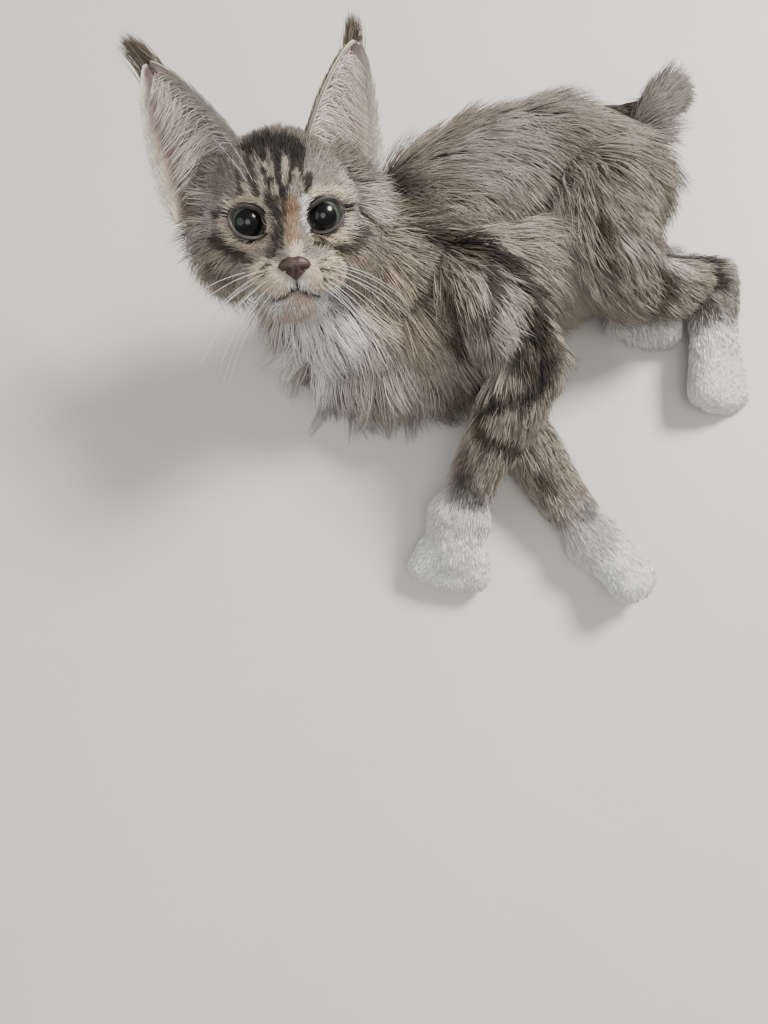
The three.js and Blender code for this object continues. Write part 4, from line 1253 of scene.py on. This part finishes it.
# Each light: name, place, size in metres, power and colour
LIGHTS = [
    ("key", (0.75, 0.55, 0.95), 0.45, 33, (1.0, 0.97, 0.93)),
    ("fill", (-0.9, -0.3, 0.9), 0.9, 4, (0.93, 0.96, 1.0)),
    ("top", (0.0, -0.5, 1.3), 0.8, 7, (1.0, 0.98, 0.95)),
]
SKY = (0.82, 0.84, 0.87, 1)
SKY_STRENGTH = 0.45


def make_floor():
    bpy.ops.mesh.primitive_grid_add(x_subdivisions=4, y_subdivisions=4, size=6.0)
    floor = bpy.context.object
    floor.name = "floor"
    floor.data.materials.append(floor_finish())


def make_camera():
    camera = bpy.data.cameras.new("camera")
    camera.sensor_width = SENSOR_HEIGHT
    camera.lens = SENSOR_HEIGHT * FOCAL_PIXELS / PHOTO_HEIGHT
    camera.clip_start = 0.01
    holder = bpy.data.objects.new("camera", camera)
    bpy.context.scene.collection.objects.link(holder)
    turn = Matrix(np.stack([CAMERA_RIGHT, CAMERA_UP, -CAMERA_LOOK], axis=1).tolist()).to_4x4()
    holder.matrix_world = Matrix.Translation(Vector(onto_floor(CAMERA_AT))) @ turn
    bpy.context.scene.camera = holder


def make_light(name, at, size, power, colour):
    light = bpy.data.lights.new(name, "AREA")
    light.shape = "DISK"
    light.size = size
    light.energy = power
    light.color = colour
    holder = bpy.data.objects.new(name, light)
    holder.location = at
    holder.rotation_euler = (-Vector(at)).to_track_quat("-Z", "Y").to_euler()
    bpy.context.scene.collection.objects.link(holder)


def make_lights():
    for light in LIGHTS:
        make_light(*light)
    world = bpy.data.worlds.new("studio")
    world.use_nodes = True
    sky = world.node_tree.nodes["Background"].inputs
    sky["Color"].default_value = SKY
    sky["Strength"].default_value = SKY_STRENGTH
    bpy.context.scene.world = world


def unwrap(piece):
    piece.data.uv_layers.new(name="OFBake")
    make_active(piece)
    bpy.ops.object.mode_set(mode="EDIT")
    bpy.ops.mesh.select_all(action="SELECT")
    bpy.ops.uv.smart_project(angle_limit=math.radians(66), island_margin=0.002)
    bpy.ops.object.mode_set(mode="OBJECT")


# Leather of lids and nose: dark colour, light colour and roughness
LID_SKIN = ((0.012, 0.010, 0.010, 1.0), (0.045, 0.034, 0.030, 1.0), 0.45)
NOSE_SKIN = ((0.020, 0.009, 0.007, 1.0), (0.060, 0.027, 0.020, 1.0), 0.5)


def dress():
    skin = make_skin()
    unwrap(skin)
    field = Field(skin)
    tree = BVHTree.FromPolygons(vertices_of(skin).tolist(), field.corners.tolist())
    shares, lie, sizes = coat_facts(field.points)
    colours = markings(field.points, shares, tree)
    skin_colours_with_shade = colours.copy()
    # Painted shade: the skin under the coat is darker than the coat and darkest under the chest's ruff, so
    # the gaps between tufts read as shade
    chest = shares["breast"] + shares["throat"] * 0.6
    skin_colours_with_shade[:, :3] *= (0.8 - 0.62 * chest)[:, None]
    put_attribute(skin.data, "hair_colour", skin_colours_with_shade, "FLOAT_COLOR")
    skin.data.materials.append(skin_finish())
    coat = coat_finish()
    pieces = [skin, *grow_coat(field, shares, lie, sizes, colours, coat)]
    ear_skin = ear_finish()
    for name, ear in EARS.items():
        leaf = make_ear(f"{name}_leaf", ear, ear_skin)
        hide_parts(name)
        hair = ear_hair(ear, coat, f"coat_{name}")
        pieces += [leaf, hair]
    eye = eye_finish()
    rim = leather_finish("lid_skin", *LID_SKIN)
    for name in EYE_AT:
        ball = make_eye(name, eye)
        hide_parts(name)
        lids = make_lids(name, rim)
        pieces += [ball, lids]
    nose = make_nose(leather_finish("nose_leather", *NOSE_SKIN))
    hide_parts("nose")
    whiskers = make_whiskers(whisker_finish())
    pieces += [nose, whiskers]
    flesh = [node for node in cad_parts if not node.startswith(("eye_", "ear_", "nose"))]
    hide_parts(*flesh)
    for piece in pieces:
        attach(piece, "root")


make_camera()
make_lights()
make_floor()
dress()
